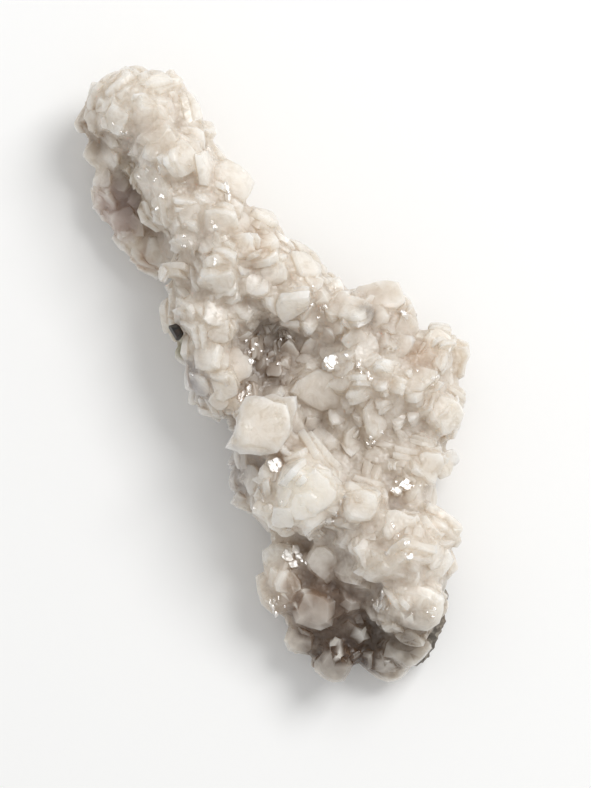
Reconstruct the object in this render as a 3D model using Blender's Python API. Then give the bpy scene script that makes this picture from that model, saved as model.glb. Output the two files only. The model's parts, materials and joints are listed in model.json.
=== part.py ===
"""Dolomite specimen: a hand-sized group of white saddle dolomite crystals, lying on its back.

The frame is in metres with +Z up. Seen from above, +Y runs up the specimen towards its narrow arm and +X runs
to the right. The origin is the middle of the footprint, on the surface that the specimen rests on. The tables
below are in millimetres, and MM turns them to metres.

The dolomite grew as one piece, so its body and its crystals are one solid: rounded lobes are fused to a core,
flat-faced rhombs are fused to that, and the back is trimmed level where the piece broke away. A remnant of the
grey host rock is left under the lower half, and one black sphalerite crystal sits in a niche at the left edge.
"""

import math
import random
from dataclasses import dataclass

import bmesh
import bpy
from mathutils import Matrix, Vector
from mathutils.bvhtree import BVHTree

MM = 0.001
GAP = 0.3

# The core, which the lobes below are fused to.
CORE_VOXEL = 1.5
CORE_SOFTENING = (0.5, 4)
CORE_KEPT_FACES = 0.08

# The crystals that cover it.
SEED = 12
TRIES = 12000
SPACING = 0.33
LOWEST_CRYSTAL = 3.6
RHOMB_SQUARENESS = (0.72, 1.0)
FACE_SLANT = 0.12
TOP_FACE = 0.88
BATCH_SPACING = 0.66

# The plates placed by hand, made of leaves.
ABOVE_ALL = 60.0
MIDDLE_HEIGHT = 10.0
PLATE_SQUARENESS = 0.86
PLATE_BLUNT = 0.28
LEAF_TWIST = 14.0
LEAF_STEP = 0.14
LEAF_SHIFT = 0.15
LEAF_OVERLAP = 1.12

# Colours as red, green and blue from 0 to 1, then roughness and metallic value.
DOLOMITE_LOOK = ((0.66, 0.61, 0.55), 0.35, 0.0)
ROCK_LOOK = ((0.12, 0.11, 0.10), 0.85, 0.0)
SPHALERITE_LOOK = ((0.012, 0.011, 0.010), 0.15, 0.0)


@dataclass(frozen=True)
class Lobe:
    """One rounded swelling of the core: its centre, half sizes and turn about Z."""

    name: str
    centre: tuple
    half: tuple
    turn: float = 0.0


@dataclass(frozen=True)
class Habit:
    """How the crystals grow around one place on the surface."""

    name: str
    centre: tuple
    sizes: tuple
    thickness: float
    leans: tuple
    stand_out: float


@dataclass(frozen=True)
class Crystal:
    """One crystal placed by hand.

    at is its place seen from above and rise how far it stands out of the core there. lean tilts its broad face
    from level towards the direction lean_to, and spin turns it in its own plane. plates is its number of leaves.
    """

    name: str
    at: tuple
    rise: float
    width: float
    thickness: float
    lean: float
    lean_to: float
    spin: float
    plates: int = 1


@dataclass(frozen=True)
class Leaf:
    """One rhomb to be fused to the core.

    frame carries it from its own axes, long diagonal on X and broad faces across Z, to the specimen's.
    squareness is its short diagonal over its long one, and blunt the share of each acute corner cut off.
    """

    frame: Matrix
    width: float
    thickness: float
    squareness: float
    blunt: float = 0.0


LOBES = (
    Lobe("arm cap", (-21.0, 41.4, 12.5), (7.8, 6.4, 8.6)),
    Lobe("arm tip left", (-26.8, 40.8, 10.5), (3.4, 3.8, 5.4)),
    Lobe("arm upper", (-16.4, 34.0, 13.0), (6.6, 7.6, 9.4)),
    Lobe("arm middle", (-11.6, 26.8, 13.0), (7.2, 7.6, 9.8)),
    Lobe("arm lower", (-7.0, 19.2, 12.5), (9.0, 8.4, 9.8)),
    Lobe("ledge tip", (-27.2, 29.8, 6.0), (3.0, 3.6, 3.4)),
    Lobe("ledge root", (-22.8, 24.4, 6.2), (4.0, 5.2, 3.8)),
    Lobe("gap floor", (-22.4, 30.4, 6.0), (4.4, 5.0, 3.4)),
    Lobe("shoulder", (1.6, 13.6, 11.0), (8.0, 6.4, 8.4)),
    Lobe("waist", (-9.8, 8.8, 11.0), (6.6, 8.0, 8.8)),
    Lobe("waist below", (-8.0, -0.4, 10.0), (4.4, 6.6, 8.4)),
    Lobe("fan top", (14.0, 9.2, 9.5), (8.4, 5.0, 7.8)),
    Lobe("fan middle", (16.6, -1.0, 9.5), (10.2, 8.6, 8.6)),
    Lobe("fan edge", (26.0, 3.4, 9.0), (3.4, 5.0, 5.4)),
    Lobe("fan corner", (26.0, -5.8, 9.0), (3.8, 6.0, 6.4)),
    Lobe("valley floor", (-1.0, 5.4, 6.4), (6.0, 6.0, 5.4)),
    Lobe("fan foot", (22.4, -13.4, 9.0), (5.4, 6.0, 7.4)),
    Lobe("plate knob", (-1.8, -8.0, 14.0), (4.8, 5.0, 8.6)),
    Lobe("brow", (4.2, -18.4, 13.5), (6.8, 7.4, 10.0)),
    Lobe("brow side", (12.6, -20.6, 12.5), (5.2, 4.6, 9.6)),
    Lobe("right swell", (21.6, -27.0, 12.0), (6.0, 6.6, 10.0)),
    Lobe("right swell below", (21.0, -35.6, 11.0), (5.6, 6.8, 9.4)),
    Lobe("right swell edge", (25.0, -31.0, 9.6), (3.4, 5.2, 5.6)),
    Lobe("recess floor", (9.0, -36.0, 6.4), (8.8, 7.8, 5.0)),
    Lobe("lower left rim", (1.6, -31.4, 7.4), (2.8, 6.8, 5.4), -8.0),
    Lobe("left flank", (-2.6, -17.2, 7.6), (3.0, 8.6, 5.6), 22.0),
    Lobe("bottom left knob", (9.8, -44.4, 7.0), (2.6, 2.8, 4.8)),
    Lobe("bottom right knob", (17.6, -44.6, 6.6), (3.6, 3.0, 4.6)),
    Lobe("bottom saddle", (13.6, -42.8, 5.0), (3.4, 3.4, 3.6)),
    Lobe("root upper", (4.6, -6.0, 6.0), (12.0, 14.0, 7.0)),
    Lobe("root lower", (12.0, -27.0, 6.0), (11.5, 14.0, 6.8)),
    Lobe("arm root", (-12.0, 22.0, 6.2), (6.0, 13.0, 6.4), 24.0),
)

HABITS = (
    Habit("cap", (-21.0, 41.0, 20.0), (6.5, 8.5), 0.62, (2, 22), 0.16),
    Habit("arm", (-14.5, 30.0, 21.0), (5.6, 7.4), 0.56, (5, 34), 0.22),
    Habit("arm side", (-20.5, 30.0, 11.0), (5.6, 7.0), 0.55, (5, 30), 0.20),
    Habit("ledge", (-25.0, 26.5, 8.0), (5.6, 7.0), 0.50, (2, 18), 0.20),
    Habit("arm foot", (-5.0, 20.0, 21.0), (5.0, 6.6), 0.50, (10, 45), 0.28),
    Habit("shoulder", (4.0, 14.5, 17.0), (4.8, 6.0), 0.48, (20, 60), 0.34),
    Habit("waist", (-10.0, 7.0, 18.0), (5.0, 6.8), 0.48, (10, 50), 0.32),
    Habit("valley", (0.0, 3.0, 13.0), (4.8, 5.6), 0.45, (20, 65), 0.32),
    Habit("fan top", (14.0, 10.0, 16.0), (5.0, 6.4), 0.48, (20, 55), 0.32),
    Habit("fan", (17.0, -2.0, 17.0), (5.6, 7.6), 0.40, (35, 80), 0.40),
    Habit("fan edge", (27.0, 0.0, 10.0), (5.2, 6.8), 0.48, (15, 50), 0.32),
    Habit("brow", (4.0, -15.0, 22.0), (6.4, 8.6), 0.46, (4, 30), 0.26),
    Habit("flank", (-5.0, -16.0, 6.0), (4.6, 5.6), 0.55, (10, 50), 0.26),
    Habit("right swell", (22.0, -30.0, 20.0), (6.4, 8.8), 0.52, (4, 34), 0.26),
    Habit("recess", (9.0, -37.0, 12.0), (5.2, 6.8), 0.60, (5, 40), 0.28),
    Habit("foot", (14.0, -46.0, 7.0), (5.0, 6.4), 0.58, (5, 35), 0.28),
)

CRYSTALS = (
    Crystal("big plate", (-1.8, -7.8), 2.4, 11.8, 5.3, 9, 60, 38, 2),
    Crystal("big plate corner", (-4.9, -3.4), 1.8, 6.2, 3.2, 42, 140, 60, 2),
    Crystal("waist plate", (-7.2, 1.2), 1.8, 8.2, 4.1, 24, 60, 10, 2),
    Crystal("rounded rhomb", (13.3, -20.8), 2.4, 6.8, 4.9, 8, 20, 62, 2),
    Crystal("brow plate left", (0.6, -15.4), 1.8, 8.4, 4.6, 18, 110, 20, 2),
    Crystal("brow plate middle", (6.2, -18.6), 2.0, 9.4, 4.9, 8, 300, 75, 2),
    Crystal("brow plate low", (4.8, -25.0), 1.6, 9.0, 4.6, 22, 260, 10, 2),
    Crystal("glassy corner", (1.8, -28.6), 1.6, 4.6, 3.0, 30, 200, 40, 1),
    Crystal("right lobe top", (19.6, -24.4), 2.0, 9.4, 5.7, 12, 20, 35, 2),
    Crystal("right lobe side", (25.0, -29.4), 1.6, 8.0, 5.4, 34, 10, 10, 1),
    Crystal("lens pair left", (16.8, -34.6), 2.4, 7.4, 3.8, 28, 190, 78, 2),
    Crystal("lens pair right", (22.0, -36.0), 2.2, 8.6, 4.9, 14, 250, 50, 2),
    Crystal("low green block", (20.8, -43.0), 2.2, 7.6, 5.9, 24, 285, 20, 1),
    Crystal("recess round left", (7.6, -39.4), 2.0, 6.6, 5.4, 10, 200, 35, 2),
    Crystal("recess round right", (11.6, -35.4), 2.2, 5.4, 4.3, 18, 40, 70, 1),
    Crystal("bottom knob", (9.8, -46.2), 1.8, 5.6, 5.7, 18, 260, 15, 1),
    Crystal("bottom right knob", (18.4, -46.4), 1.4, 5.8, 4.9, 24, 280, 30, 1),
    Crystal("flank slab", (1.4, -31.4), 1.4, 8.0, 4.1, 26, 190, 70, 1),
    Crystal("hanging plate left", (2.6, 3.6), 2.4, 5.6, 2.7, 22, 240, 78, 2),
    Crystal("hanging plate right", (5.8, 3.8), 2.6, 5.8, 2.7, 26, 290, 100, 2),
    Crystal("bright tile", (9.6, 1.8), 3.0, 4.2, 2.4, 20, 55, 20, 1),
    Crystal("arched plate", (14.6, 3.0), 2.2, 6.8, 3.2, 16, 30, 75, 2),
    Crystal("wide plate", (6.4, -2.4), 2.4, 8.8, 4.0, 20, 230, 8, 2),
    Crystal("upright stack", (16.2, -6.2), 2.6, 9.4, 3.8, 56, 5, 82, 2),
    Crystal("long lens", (23.6, -1.0), 2.2, 6.4, 2.6, 55, 85, 4, 1),
    Crystal("valley lens", (-1.4, 2.2), 1.8, 5.4, 3.0, 40, 330, 60, 1),
    Crystal("valley step", (3.0, -3.2), 1.8, 5.6, 3.2, 24, 20, 20, 1),
    Crystal("blade by the plate", (9.6, -9.8), 2.0, 7.0, 3.2, 34, 140, 64, 1),
    Crystal("block by the brow", (8.4, -13.2), 2.0, 7.2, 3.8, 22, 60, 15, 1),
    Crystal("right block", (25.8, 4.8), 1.6, 7.4, 5.4, 22, 30, 10, 1),
    Crystal("right block below", (26.6, -6.2), 1.8, 7.2, 5.1, 24, 350, 30, 1),
    Crystal("right foot block", (24.6, -14.0), 2.2, 6.8, 4.3, 26, 330, 50, 2),
    Crystal("cream lens", (5.6, 9.0), 2.2, 6.2, 3.5, 26, 40, 80, 1),
    Crystal("white wedge", (-3.0, 11.6), 2.4, 9.2, 4.2, 34, 20, 80, 2),
    Crystal("long ridge", (-12.2, 10.6), 1.8, 7.6, 4.1, 30, 70, 12, 1),
    Crystal("under ridge", (-8.6, 7.0), 1.8, 6.2, 3.8, 20, 200, 30, 2),
    Crystal("niche roof", (-13.4, 10.0), 1.6, 4.6, 3.2, 20, 150, 60, 1),
    Crystal("niche floor", (-13.4, 3.0), 1.4, 4.4, 4.1, 24, 210, 10, 1),
    Crystal("white step", (-13.2, 21.6), 1.6, 7.4, 4.1, 14, 150, 30, 2),
    Crystal("cream step", (-15.4, 25.8), 1.6, 8.0, 4.1, 16, 120, 15, 2),
    Crystal("arm block", (-8.0, 25.4), 1.4, 7.2, 4.6, 18, 40, 40, 1),
    Crystal("small tile", (-8.0, 19.8), 1.4, 4.4, 3.0, 22, 50, 70, 1),
    Crystal("right bump", (-13.6, 36.8), 1.2, 7.4, 5.1, 26, 20, 45, 1),
    Crystal("cap front", (-20.6, 39.4), 1.4, 8.6, 5.1, 10, 250, 20, 2),
    Crystal("cap head", (-21.4, 43.4), 1.0, 8.4, 5.4, 30, 95, 60, 1),
    Crystal("cap left", (-27.5, 40.2), 1.8, 5.6, 4.9, 32, 180, 85, 1),
    Crystal("cap low left", (-20.0, 36.0), 1.6, 7.6, 4.3, 26, 230, 40, 2),
    Crystal("ledge plate", (-26.6, 29.2), 1.6, 7.6, 4.1, 10, 160, 60, 1),
    Crystal("ledge plate low", (-22.8, 23.6), 1.8, 7.4, 4.1, 12, 200, 70, 1),
    Crystal("waist shard", (-16.4, 13.6), 1.6, 4.6, 3.0, 24, 170, 10, 1),
)

# The host rock's outline seen from above, anticlockwise from its left end.
ROCK_OUTLINE = (
    (3.4, -28.0),
    (4.2, -37.6),
    (9.4, -44.0),
    (17.8, -46.2),
    (23.6, -45.2),
    (26.6, -39.8),
    (27.4, -33.0),
    (25.0, -23.6),
    (19.4, -15.0),
    (12.0, -14.2),
    (5.2, -19.4),
)
# Each ring of the rock: its height, its size against the outline, and how far its corners are chipped.
ROCK_RINGS = ((0.0, 0.90, 0.7), (1.8, 1.02, 0.9), (4.4, 0.96, 1.0), (6.6, 0.78, 0.6))

SPHALERITE_AT = (-15.3, 6.8, 14.9)
SPHALERITE_LENGTH = 2.9
SPHALERITE_WIDTH = 1.7
SPHALERITE_DEPTH = 0.8
NICHE_WIDTH = 5.0
SPHALERITE_SPIN = -59.0
SPHALERITE_LEAN = 24.0
# Its rings: the place of each along its length from end to end, and its size against the full width.
SPHALERITE_RINGS = ((0.0, 0.6), (0.1, 1.0), (0.86, 0.95), (1.0, 0.5))


def principled(name, colour, roughness, metallic):
    """Returns a new material with those values."""
    material = bpy.data.materials.new(name)
    material.use_nodes = True
    shader = material.node_tree.nodes["Principled BSDF"]
    shader.inputs["Base Color"].default_value = (*colour, 1.0)
    shader.inputs["Roughness"].default_value = roughness
    shader.inputs["Metallic"].default_value = metallic
    return material


def new_object(name, bm):
    """Returns a new object in the scene that holds bm's mesh, and frees bm."""
    mesh = bpy.data.meshes.new(name)
    bm.to_mesh(mesh)
    bm.free()
    obj = bpy.data.objects.new(name, mesh)
    bpy.context.scene.collection.objects.link(obj)
    return obj


def apply_modifiers(obj):
    """Makes the object's modifiers part of its mesh."""
    bpy.context.view_layer.objects.active = obj
    for modifier in list(obj.modifiers):
        bpy.ops.object.modifier_apply(modifier=modifier.name)


def boolean(obj, other, operation):
    """Joins other to obj or cuts it from obj, and removes other."""
    modifier = obj.modifiers.new(operation.lower(), "BOOLEAN")
    modifier.operation = operation
    # Many crystals share each join, and the exact solver leaves small open seams there.
    modifier.solver = "MANIFOLD"
    modifier.object = other
    apply_modifiers(obj)
    bpy.data.objects.remove(other)


def fused_core():
    """Returns the specimen's rounded body: its lobes fused, softened and cut down to broad facets."""
    bm = bmesh.new()
    for lobe in LOBES:
        place = Matrix.Translation(Vector(lobe.centre) * MM)
        turn = Matrix.Rotation(math.radians(lobe.turn), 4, "Z")
        stretch = Matrix.Diagonal((*(Vector(lobe.half) * MM), 1.0))
        bmesh.ops.create_icosphere(bm, subdivisions=3, radius=1.0, matrix=place @ turn @ stretch)
    core = new_object("core", bm)
    fuse = core.modifiers.new("fuse", "REMESH")
    fuse.mode = "VOXEL"
    fuse.voxel_size = CORE_VOXEL * MM
    soften = core.modifiers.new("soften", "SMOOTH")
    soften.factor, soften.iterations = CORE_SOFTENING
    facet = core.modifiers.new("facet", "DECIMATE")
    facet.ratio = CORE_KEPT_FACES
    core.modifiers.new("split", "TRIANGULATE")
    apply_modifiers(core)
    return core


def rhomb(bm, leaf):
    """Adds one flat-faced rhombohedron to bm: a rhomb with blunt acute corners, a little smaller on top."""
    half_long = leaf.width / 2 * MM
    half_short = half_long * leaf.squareness
    half_thick = leaf.thickness / 2 * MM
    slant = leaf.width * FACE_SLANT * MM
    if leaf.blunt:
        keep, side = 1 - leaf.blunt, half_short * leaf.blunt
        ring = (
            (half_long * keep, -side),
            (half_long * keep, side),
            (0, half_short),
            (-half_long * keep, side),
            (-half_long * keep, -side),
            (0, -half_short),
        )
    else:
        ring = ((half_long, 0), (0, half_short), (-half_long, 0), (0, -half_short))
    rings = []
    for side, size in ((-1, 1.0), (1, TOP_FACE)):
        corners = [Vector((x * size + side * slant, y * size, side * half_thick)) for x, y in ring]
        rings.append([bm.verts.new(leaf.frame @ corner) for corner in corners])
    low, high = rings
    bm.faces.new(reversed(low))
    bm.faces.new(high)
    for i in range(len(ring)):
        j = (i + 1) % len(ring)
        bm.faces.new((low[i], low[j], high[j], high[i]))


def facing(normal, spin):
    """Returns the rotation that turns +Z to normal, after a spin about +Z in degrees."""
    tilt = Vector((0, 0, 1)).rotation_difference(normal).to_matrix().to_4x4()
    return tilt @ Matrix.Rotation(math.radians(spin), 4, "Z")


def leaning(lean, lean_to):
    """Returns the unit vector that leans from +Z by lean degrees towards the direction lean_to."""
    out, up = math.sin(math.radians(lean)), math.cos(math.radians(lean))
    return Vector((out * math.cos(math.radians(lean_to)), out * math.sin(math.radians(lean_to)), up))


def reach(width, thickness, lean):
    """Returns how far a crystal that leans by that many degrees reaches above its middle."""
    return thickness / 2 * math.cos(math.radians(lean)) + width / 2.4 * math.sin(math.radians(lean))


def hand_placed(core):
    """Returns the leaves of the crystals in CRYSTALS, set on the core."""
    surface = BVHTree.FromPolygons(
        [vertex.co for vertex in core.data.vertices], [face.vertices for face in core.data.polygons]
    )
    leaves = []
    for c in CRYSTALS:
        ground = surface.ray_cast(Vector((*c.at, ABOVE_ALL)) * MM, Vector((0, 0, -1)))[0]
        if ground is None:
            ground = surface.find_nearest(Vector((*c.at, MIDDLE_HEIGHT)) * MM)[0]
        height = ground.z / MM + c.rise - reach(c.width, c.thickness, c.lean)
        middle = Matrix.Translation(Vector((*c.at, height)) * MM)
        turn = facing(leaning(c.lean, c.lean_to), c.spin)
        thickness = c.thickness / c.plates
        for n in range(c.plates):
            step = (n - (c.plates - 1) / 2) * thickness
            shift = Matrix.Translation(Vector((LEAF_SHIFT * step, LEAF_SHIFT * step, step)) * MM)
            twist = Matrix.Rotation(math.radians(LEAF_TWIST * n), 4, "Z")
            frame = middle @ turn @ shift @ twist
            width = c.width * (1 - LEAF_STEP * n)
            leaves.append(Leaf(frame, width, thickness * LEAF_OVERLAP, PLATE_SQUARENESS, PLATE_BLUNT))
    return leaves


def grown(core, taken):
    """Returns the crystals that cover the rest of the core.

    Points are drawn at random over the core's faces, and one is kept where it is far enough from the crystals
    already there. The habit nearest to it gives its size and lean.
    """
    draw = random.Random(SEED)
    faces = core.data.polygons
    places = [vertex.co / MM for vertex in core.data.vertices]
    placed = [(leaf.frame.translation / MM, leaf.width) for leaf in taken]
    placed.append((Vector(SPHALERITE_AT), NICHE_WIDTH))
    leaves = []
    for face in draw.choices(faces, weights=[f.area for f in faces], k=TRIES):
        a, b, c = (places[i] for i in face.vertices)
        along, across = sorted((draw.random(), draw.random()))
        point, normal = a * along + b * (across - along) + c * (1 - across), face.normal
        habit = min(HABITS, key=lambda h: (Vector(h.centre) - point).length)
        width = draw.uniform(*habit.sizes)
        lean = draw.uniform(*habit.leans)
        lean_to, spin = draw.uniform(0, 360), draw.uniform(0, 360)
        squareness = draw.uniform(*RHOMB_SQUARENESS)
        if point.z < LOWEST_CRYSTAL:
            continue
        if any((point - p).length < SPACING * (width + w) for p, w in placed):
            continue
        thickness = width * habit.thickness
        face_out = facing(normal, 0).to_3x3() @ leaning(lean, lean_to)
        centre = point + normal * (habit.stand_out * width - reach(width, thickness, lean))
        frame = Matrix.Translation(centre * MM) @ facing(face_out, spin)
        leaves.append(Leaf(frame, width, thickness, squareness))
        placed.append((point, width))
    return leaves


def in_batches(leaves):
    """Sorts the crystals into batches in which none touches another, so that each batch is one clean mesh."""
    batches = []
    for leaf in leaves:
        place = leaf.frame.translation
        for batch in batches:
            apart = (
                (place - other.frame.translation).length > BATCH_SPACING * (leaf.width + other.width) * MM
                for other in batch
            )
            if all(apart):
                batch.append(leaf)
                break
        else:
            batches.append([leaf])
    return batches


def dolomite_cluster():
    """Returns the dolomite: the core with every crystal fused to it, trimmed level at the back."""
    core = fused_core()
    leaves = hand_placed(core)
    leaves += grown(core, leaves)
    for batch in in_batches(leaves):
        bm = bmesh.new()
        for leaf in batch:
            rhomb(bm, leaf)
        boolean(core, new_object("batch", bm), "UNION")
    core.name = core.data.name = "dolomite_cluster"
    core.data.materials.clear()
    core.data.materials.append(principled("dolomite_cluster", *DOLOMITE_LOOK))
    return core


def swollen_copy(obj, by):
    """Returns a copy of a solid whose surface stands out by that many millimetres, to cut room for the solid."""
    other = bpy.data.objects.new(obj.name + "_room", obj.data.copy())
    bpy.context.scene.collection.objects.link(other)
    swell = other.modifiers.new("swell", "DISPLACE")
    swell.mid_level = 0.0
    swell.strength = by * MM
    apply_modifiers(other)
    return other


def level_block(side):
    """Returns a block whose upper face is the surface that the specimen rests on, to trim what is below."""
    bm = bmesh.new()
    middle = Matrix.Translation(Vector((0, 0, -side / 2)) * MM)
    bmesh.ops.create_cube(bm, size=side * MM, matrix=middle)
    return new_object("below", bm)


def host_rock():
    """Returns the remnant of grey rock under the lower half: a chipped slab, level underneath."""
    draw = random.Random(SEED)
    middle = sum((Vector((*corner, 0)) for corner in ROCK_OUTLINE), Vector()) / len(ROCK_OUTLINE)
    bm = bmesh.new()
    rings = []
    for height, taper, chip in ROCK_RINGS:
        ring = []
        for x, y in ROCK_OUTLINE:
            corner = middle.lerp(Vector((x, y, 0)), taper)
            corner += Vector((draw.uniform(-chip, chip), draw.uniform(-chip, chip), 0))
            corner.z = height + (draw.uniform(-chip, chip) if height else 0)
            ring.append(bm.verts.new(corner * MM))
        rings.append(ring)
    bm.faces.new(reversed(rings[0]))
    for low, high in zip(rings, rings[1:]):
        for i, j in zip(range(len(low)), (*range(1, len(low)), 0)):
            bm.faces.new((low[i], low[j], high[j]))
            bm.faces.new((low[i], high[j], high[i]))
    top = bm.faces.new(rings[-1])
    bmesh.ops.poke(bm, faces=[top])
    rock = new_object("host_rock", bm)
    rock.data.materials.append(principled("host_rock", *ROCK_LOOK))
    return rock


def sphalerite_crystal():
    """Returns the small black crystal at the left edge: a stubby six-sided prism with bevelled ends."""
    bm = bmesh.new()
    place = Matrix.Translation(Vector(SPHALERITE_AT) * MM)
    turn = Matrix.Rotation(math.radians(SPHALERITE_SPIN), 4, "Z")
    lean = Matrix.Rotation(math.radians(90 - SPHALERITE_LEAN), 4, "Y")
    for along, size in SPHALERITE_RINGS:
        for n in range(6):
            angle = math.radians(60 * n)
            corner = Vector((math.cos(angle), SPHALERITE_DEPTH * math.sin(angle), 0)) * SPHALERITE_WIDTH / 2
            corner = corner * size + Vector((0, 0, (along - 0.5) * SPHALERITE_LENGTH))
            bm.verts.new(place @ turn @ lean @ (corner * MM))
    bmesh.ops.convex_hull(bm, input=bm.verts)
    sphalerite = new_object("sphalerite_crystal", bm)
    sphalerite.data.materials.append(principled("sphalerite_crystal", *SPHALERITE_LOOK))
    return sphalerite


def keep_largest_body(obj):
    """Deletes the crumbs that a cut leaves loose, so that the object is one body."""
    bm = bmesh.new()
    bm.from_mesh(obj.data)
    unseen = set(bm.verts)
    bodies = []
    while unseen:
        body, edge_of_search = set(), [unseen.pop()]
        while edge_of_search:
            vert = edge_of_search.pop()
            body.add(vert)
            for edge in vert.link_edges:
                other = edge.other_vert(vert)
                if other in unseen:
                    unseen.remove(other)
                    edge_of_search.append(other)
        bodies.append(body)
    largest = max(bodies, key=len)
    crumbs = [vert for body in bodies if body is not largest for vert in body]
    bmesh.ops.delete(bm, geom=crumbs, context="VERTS")
    bm.to_mesh(obj.data)
    bm.free()


def clear_scene():
    """Removes every object that the scene starts with."""
    for obj in list(bpy.data.objects):
        bpy.data.objects.remove(obj)


def main():
    clear_scene()
    cluster = dolomite_cluster()
    rock = host_rock()
    sphalerite = sphalerite_crystal()
    boolean(cluster, swollen_copy(rock, GAP), "DIFFERENCE")
    boolean(cluster, swollen_copy(sphalerite, GAP), "DIFFERENCE")
    boolean(cluster, level_block(4 * ABOVE_ALL), "DIFFERENCE")
    keep_largest_body(cluster)


if __name__ == "__main__":
    main()
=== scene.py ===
"""Dolomite specimen, dressed for its photograph: white saddle dolomite with a remnant of its rock.

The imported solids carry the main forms. Here the dolomite is grown again on the same lobes with crystals as
fine as the eye sees them: rounded saddle rhombs, edge-on lenses and small knobs, all fused into one skin so
that light scatters through it as it does in milky carbonate. The tables are in millimetres, and MM turns them
to metres. The frame is the solids': +Z is up from the surface that the specimen lies on, and +Y runs up to
its narrow arm.
"""

import sys

import json
import logging
import math
import random
from collections.abc import Callable, Iterator
from contextlib import contextmanager
from dataclasses import dataclass, field
from enum import Enum
from functools import partial

import bpy
import numpy as np
from mathutils import Matrix, Vector
from mathutils.bvhtree import BVHTree

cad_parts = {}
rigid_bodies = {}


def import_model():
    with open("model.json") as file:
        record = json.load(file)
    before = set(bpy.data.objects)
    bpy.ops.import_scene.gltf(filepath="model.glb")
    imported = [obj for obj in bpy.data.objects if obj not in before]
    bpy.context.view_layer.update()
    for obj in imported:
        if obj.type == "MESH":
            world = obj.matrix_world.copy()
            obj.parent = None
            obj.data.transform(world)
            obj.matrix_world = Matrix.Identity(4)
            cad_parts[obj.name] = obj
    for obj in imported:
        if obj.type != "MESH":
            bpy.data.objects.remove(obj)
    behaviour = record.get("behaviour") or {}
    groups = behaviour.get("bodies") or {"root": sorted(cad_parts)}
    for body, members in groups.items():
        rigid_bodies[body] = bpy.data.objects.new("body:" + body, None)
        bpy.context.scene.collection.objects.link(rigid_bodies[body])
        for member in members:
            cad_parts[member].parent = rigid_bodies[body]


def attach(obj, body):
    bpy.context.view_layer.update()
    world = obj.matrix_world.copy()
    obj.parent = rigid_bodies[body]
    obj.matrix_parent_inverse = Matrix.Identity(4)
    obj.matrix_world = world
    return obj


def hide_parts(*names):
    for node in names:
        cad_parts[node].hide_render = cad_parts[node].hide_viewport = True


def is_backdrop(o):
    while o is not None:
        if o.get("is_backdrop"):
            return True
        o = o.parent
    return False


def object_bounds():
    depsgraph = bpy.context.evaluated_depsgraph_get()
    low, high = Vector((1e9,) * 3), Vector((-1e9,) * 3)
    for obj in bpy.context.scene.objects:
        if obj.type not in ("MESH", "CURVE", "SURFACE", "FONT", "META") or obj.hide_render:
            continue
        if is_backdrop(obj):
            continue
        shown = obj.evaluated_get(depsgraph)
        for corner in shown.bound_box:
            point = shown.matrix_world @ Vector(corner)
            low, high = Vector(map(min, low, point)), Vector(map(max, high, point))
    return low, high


LOG = logging.getLogger("dolomite")
MM = 0.001
SEED = 7

# The direction that the key light comes from, which the flashing faces mirror into the camera.
KEY_FROM = (0.45, 0.45, 0.77)

# A height over the whole specimen, in millimetres, from which rays look down.
OVERHEAD = 60

# A leaf begins as a regular outline of radius 0.5, and the corner in a direction is what reaches farther.
OUTERMOST = 0.4995

# How far the crystals may stand out of the solids' box, in millimetres.
PAST_THE_BOX = (0.6, 0.6, 0.3)


class Form(Enum):
    """The crystal forms of the group."""

    SHIELD = "shield"
    PLATE = "plate"
    BLOCK = "block"
    LENS = "lens"
    KNOB = "knob"
    GRAIN = "grain"


@dataclass(frozen=True)
class Lobe:
    """One rounded swelling of the core, in millimetres.

    Args:
        name: what the lobe is.
        centre: its middle.
        half: its half sizes along its own axes.
        turn: its turn about Z in degrees.
    """

    name: str
    centre: tuple[float, float, float]
    half: tuple[float, float, float]
    turn: float = 0.0


@dataclass(frozen=True)
class Habit:
    """How the crystals grow around one place.

    Args:
        name: the place.
        centre: its middle, in millimetres.
        size: the longest diagonal, in millimetres.
        forms: the forms that grow there, one drawn for each crystal.
        leans: how far the broad face turns from the surface, least and greatest, in degrees.
        jitter: how far a crystal strays from its clump's direction, in degrees.
        stand_out: the share of its width by which a crystal stands out of the surface.
        spacing: the least distance between two crystals as a share of their two widths.
        chips: how much of the later, smaller growth there is.
        overgrown: how far the last growth covers the crystals, from nought to one.
    """

    name: str
    centre: tuple[float, float, float]
    size: float
    forms: tuple[Form, ...]
    leans: tuple[float, float]
    jitter: float
    stand_out: float
    spacing: float
    chips: float
    overgrown: float


@dataclass(frozen=True)
class Plate:
    """One crystal that shows in the photograph, given in millimetres and degrees.

    Args:
        name: what it is.
        at: its place seen from above.
        rise: how far it stands out of the core there.
        width: its long diagonal.
        thickness: its height across its broad faces.
        lean: the tilt of its broad face from level.
        lean_to: the direction that it tilts towards.
        spin: its turn in its own plane.
        form: its form.
    """

    name: str
    at: tuple[float, float]
    rise: float
    width: float
    thickness: float
    lean: float
    lean_to: float
    spin: float
    form: Form = Form.SHIELD


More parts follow.
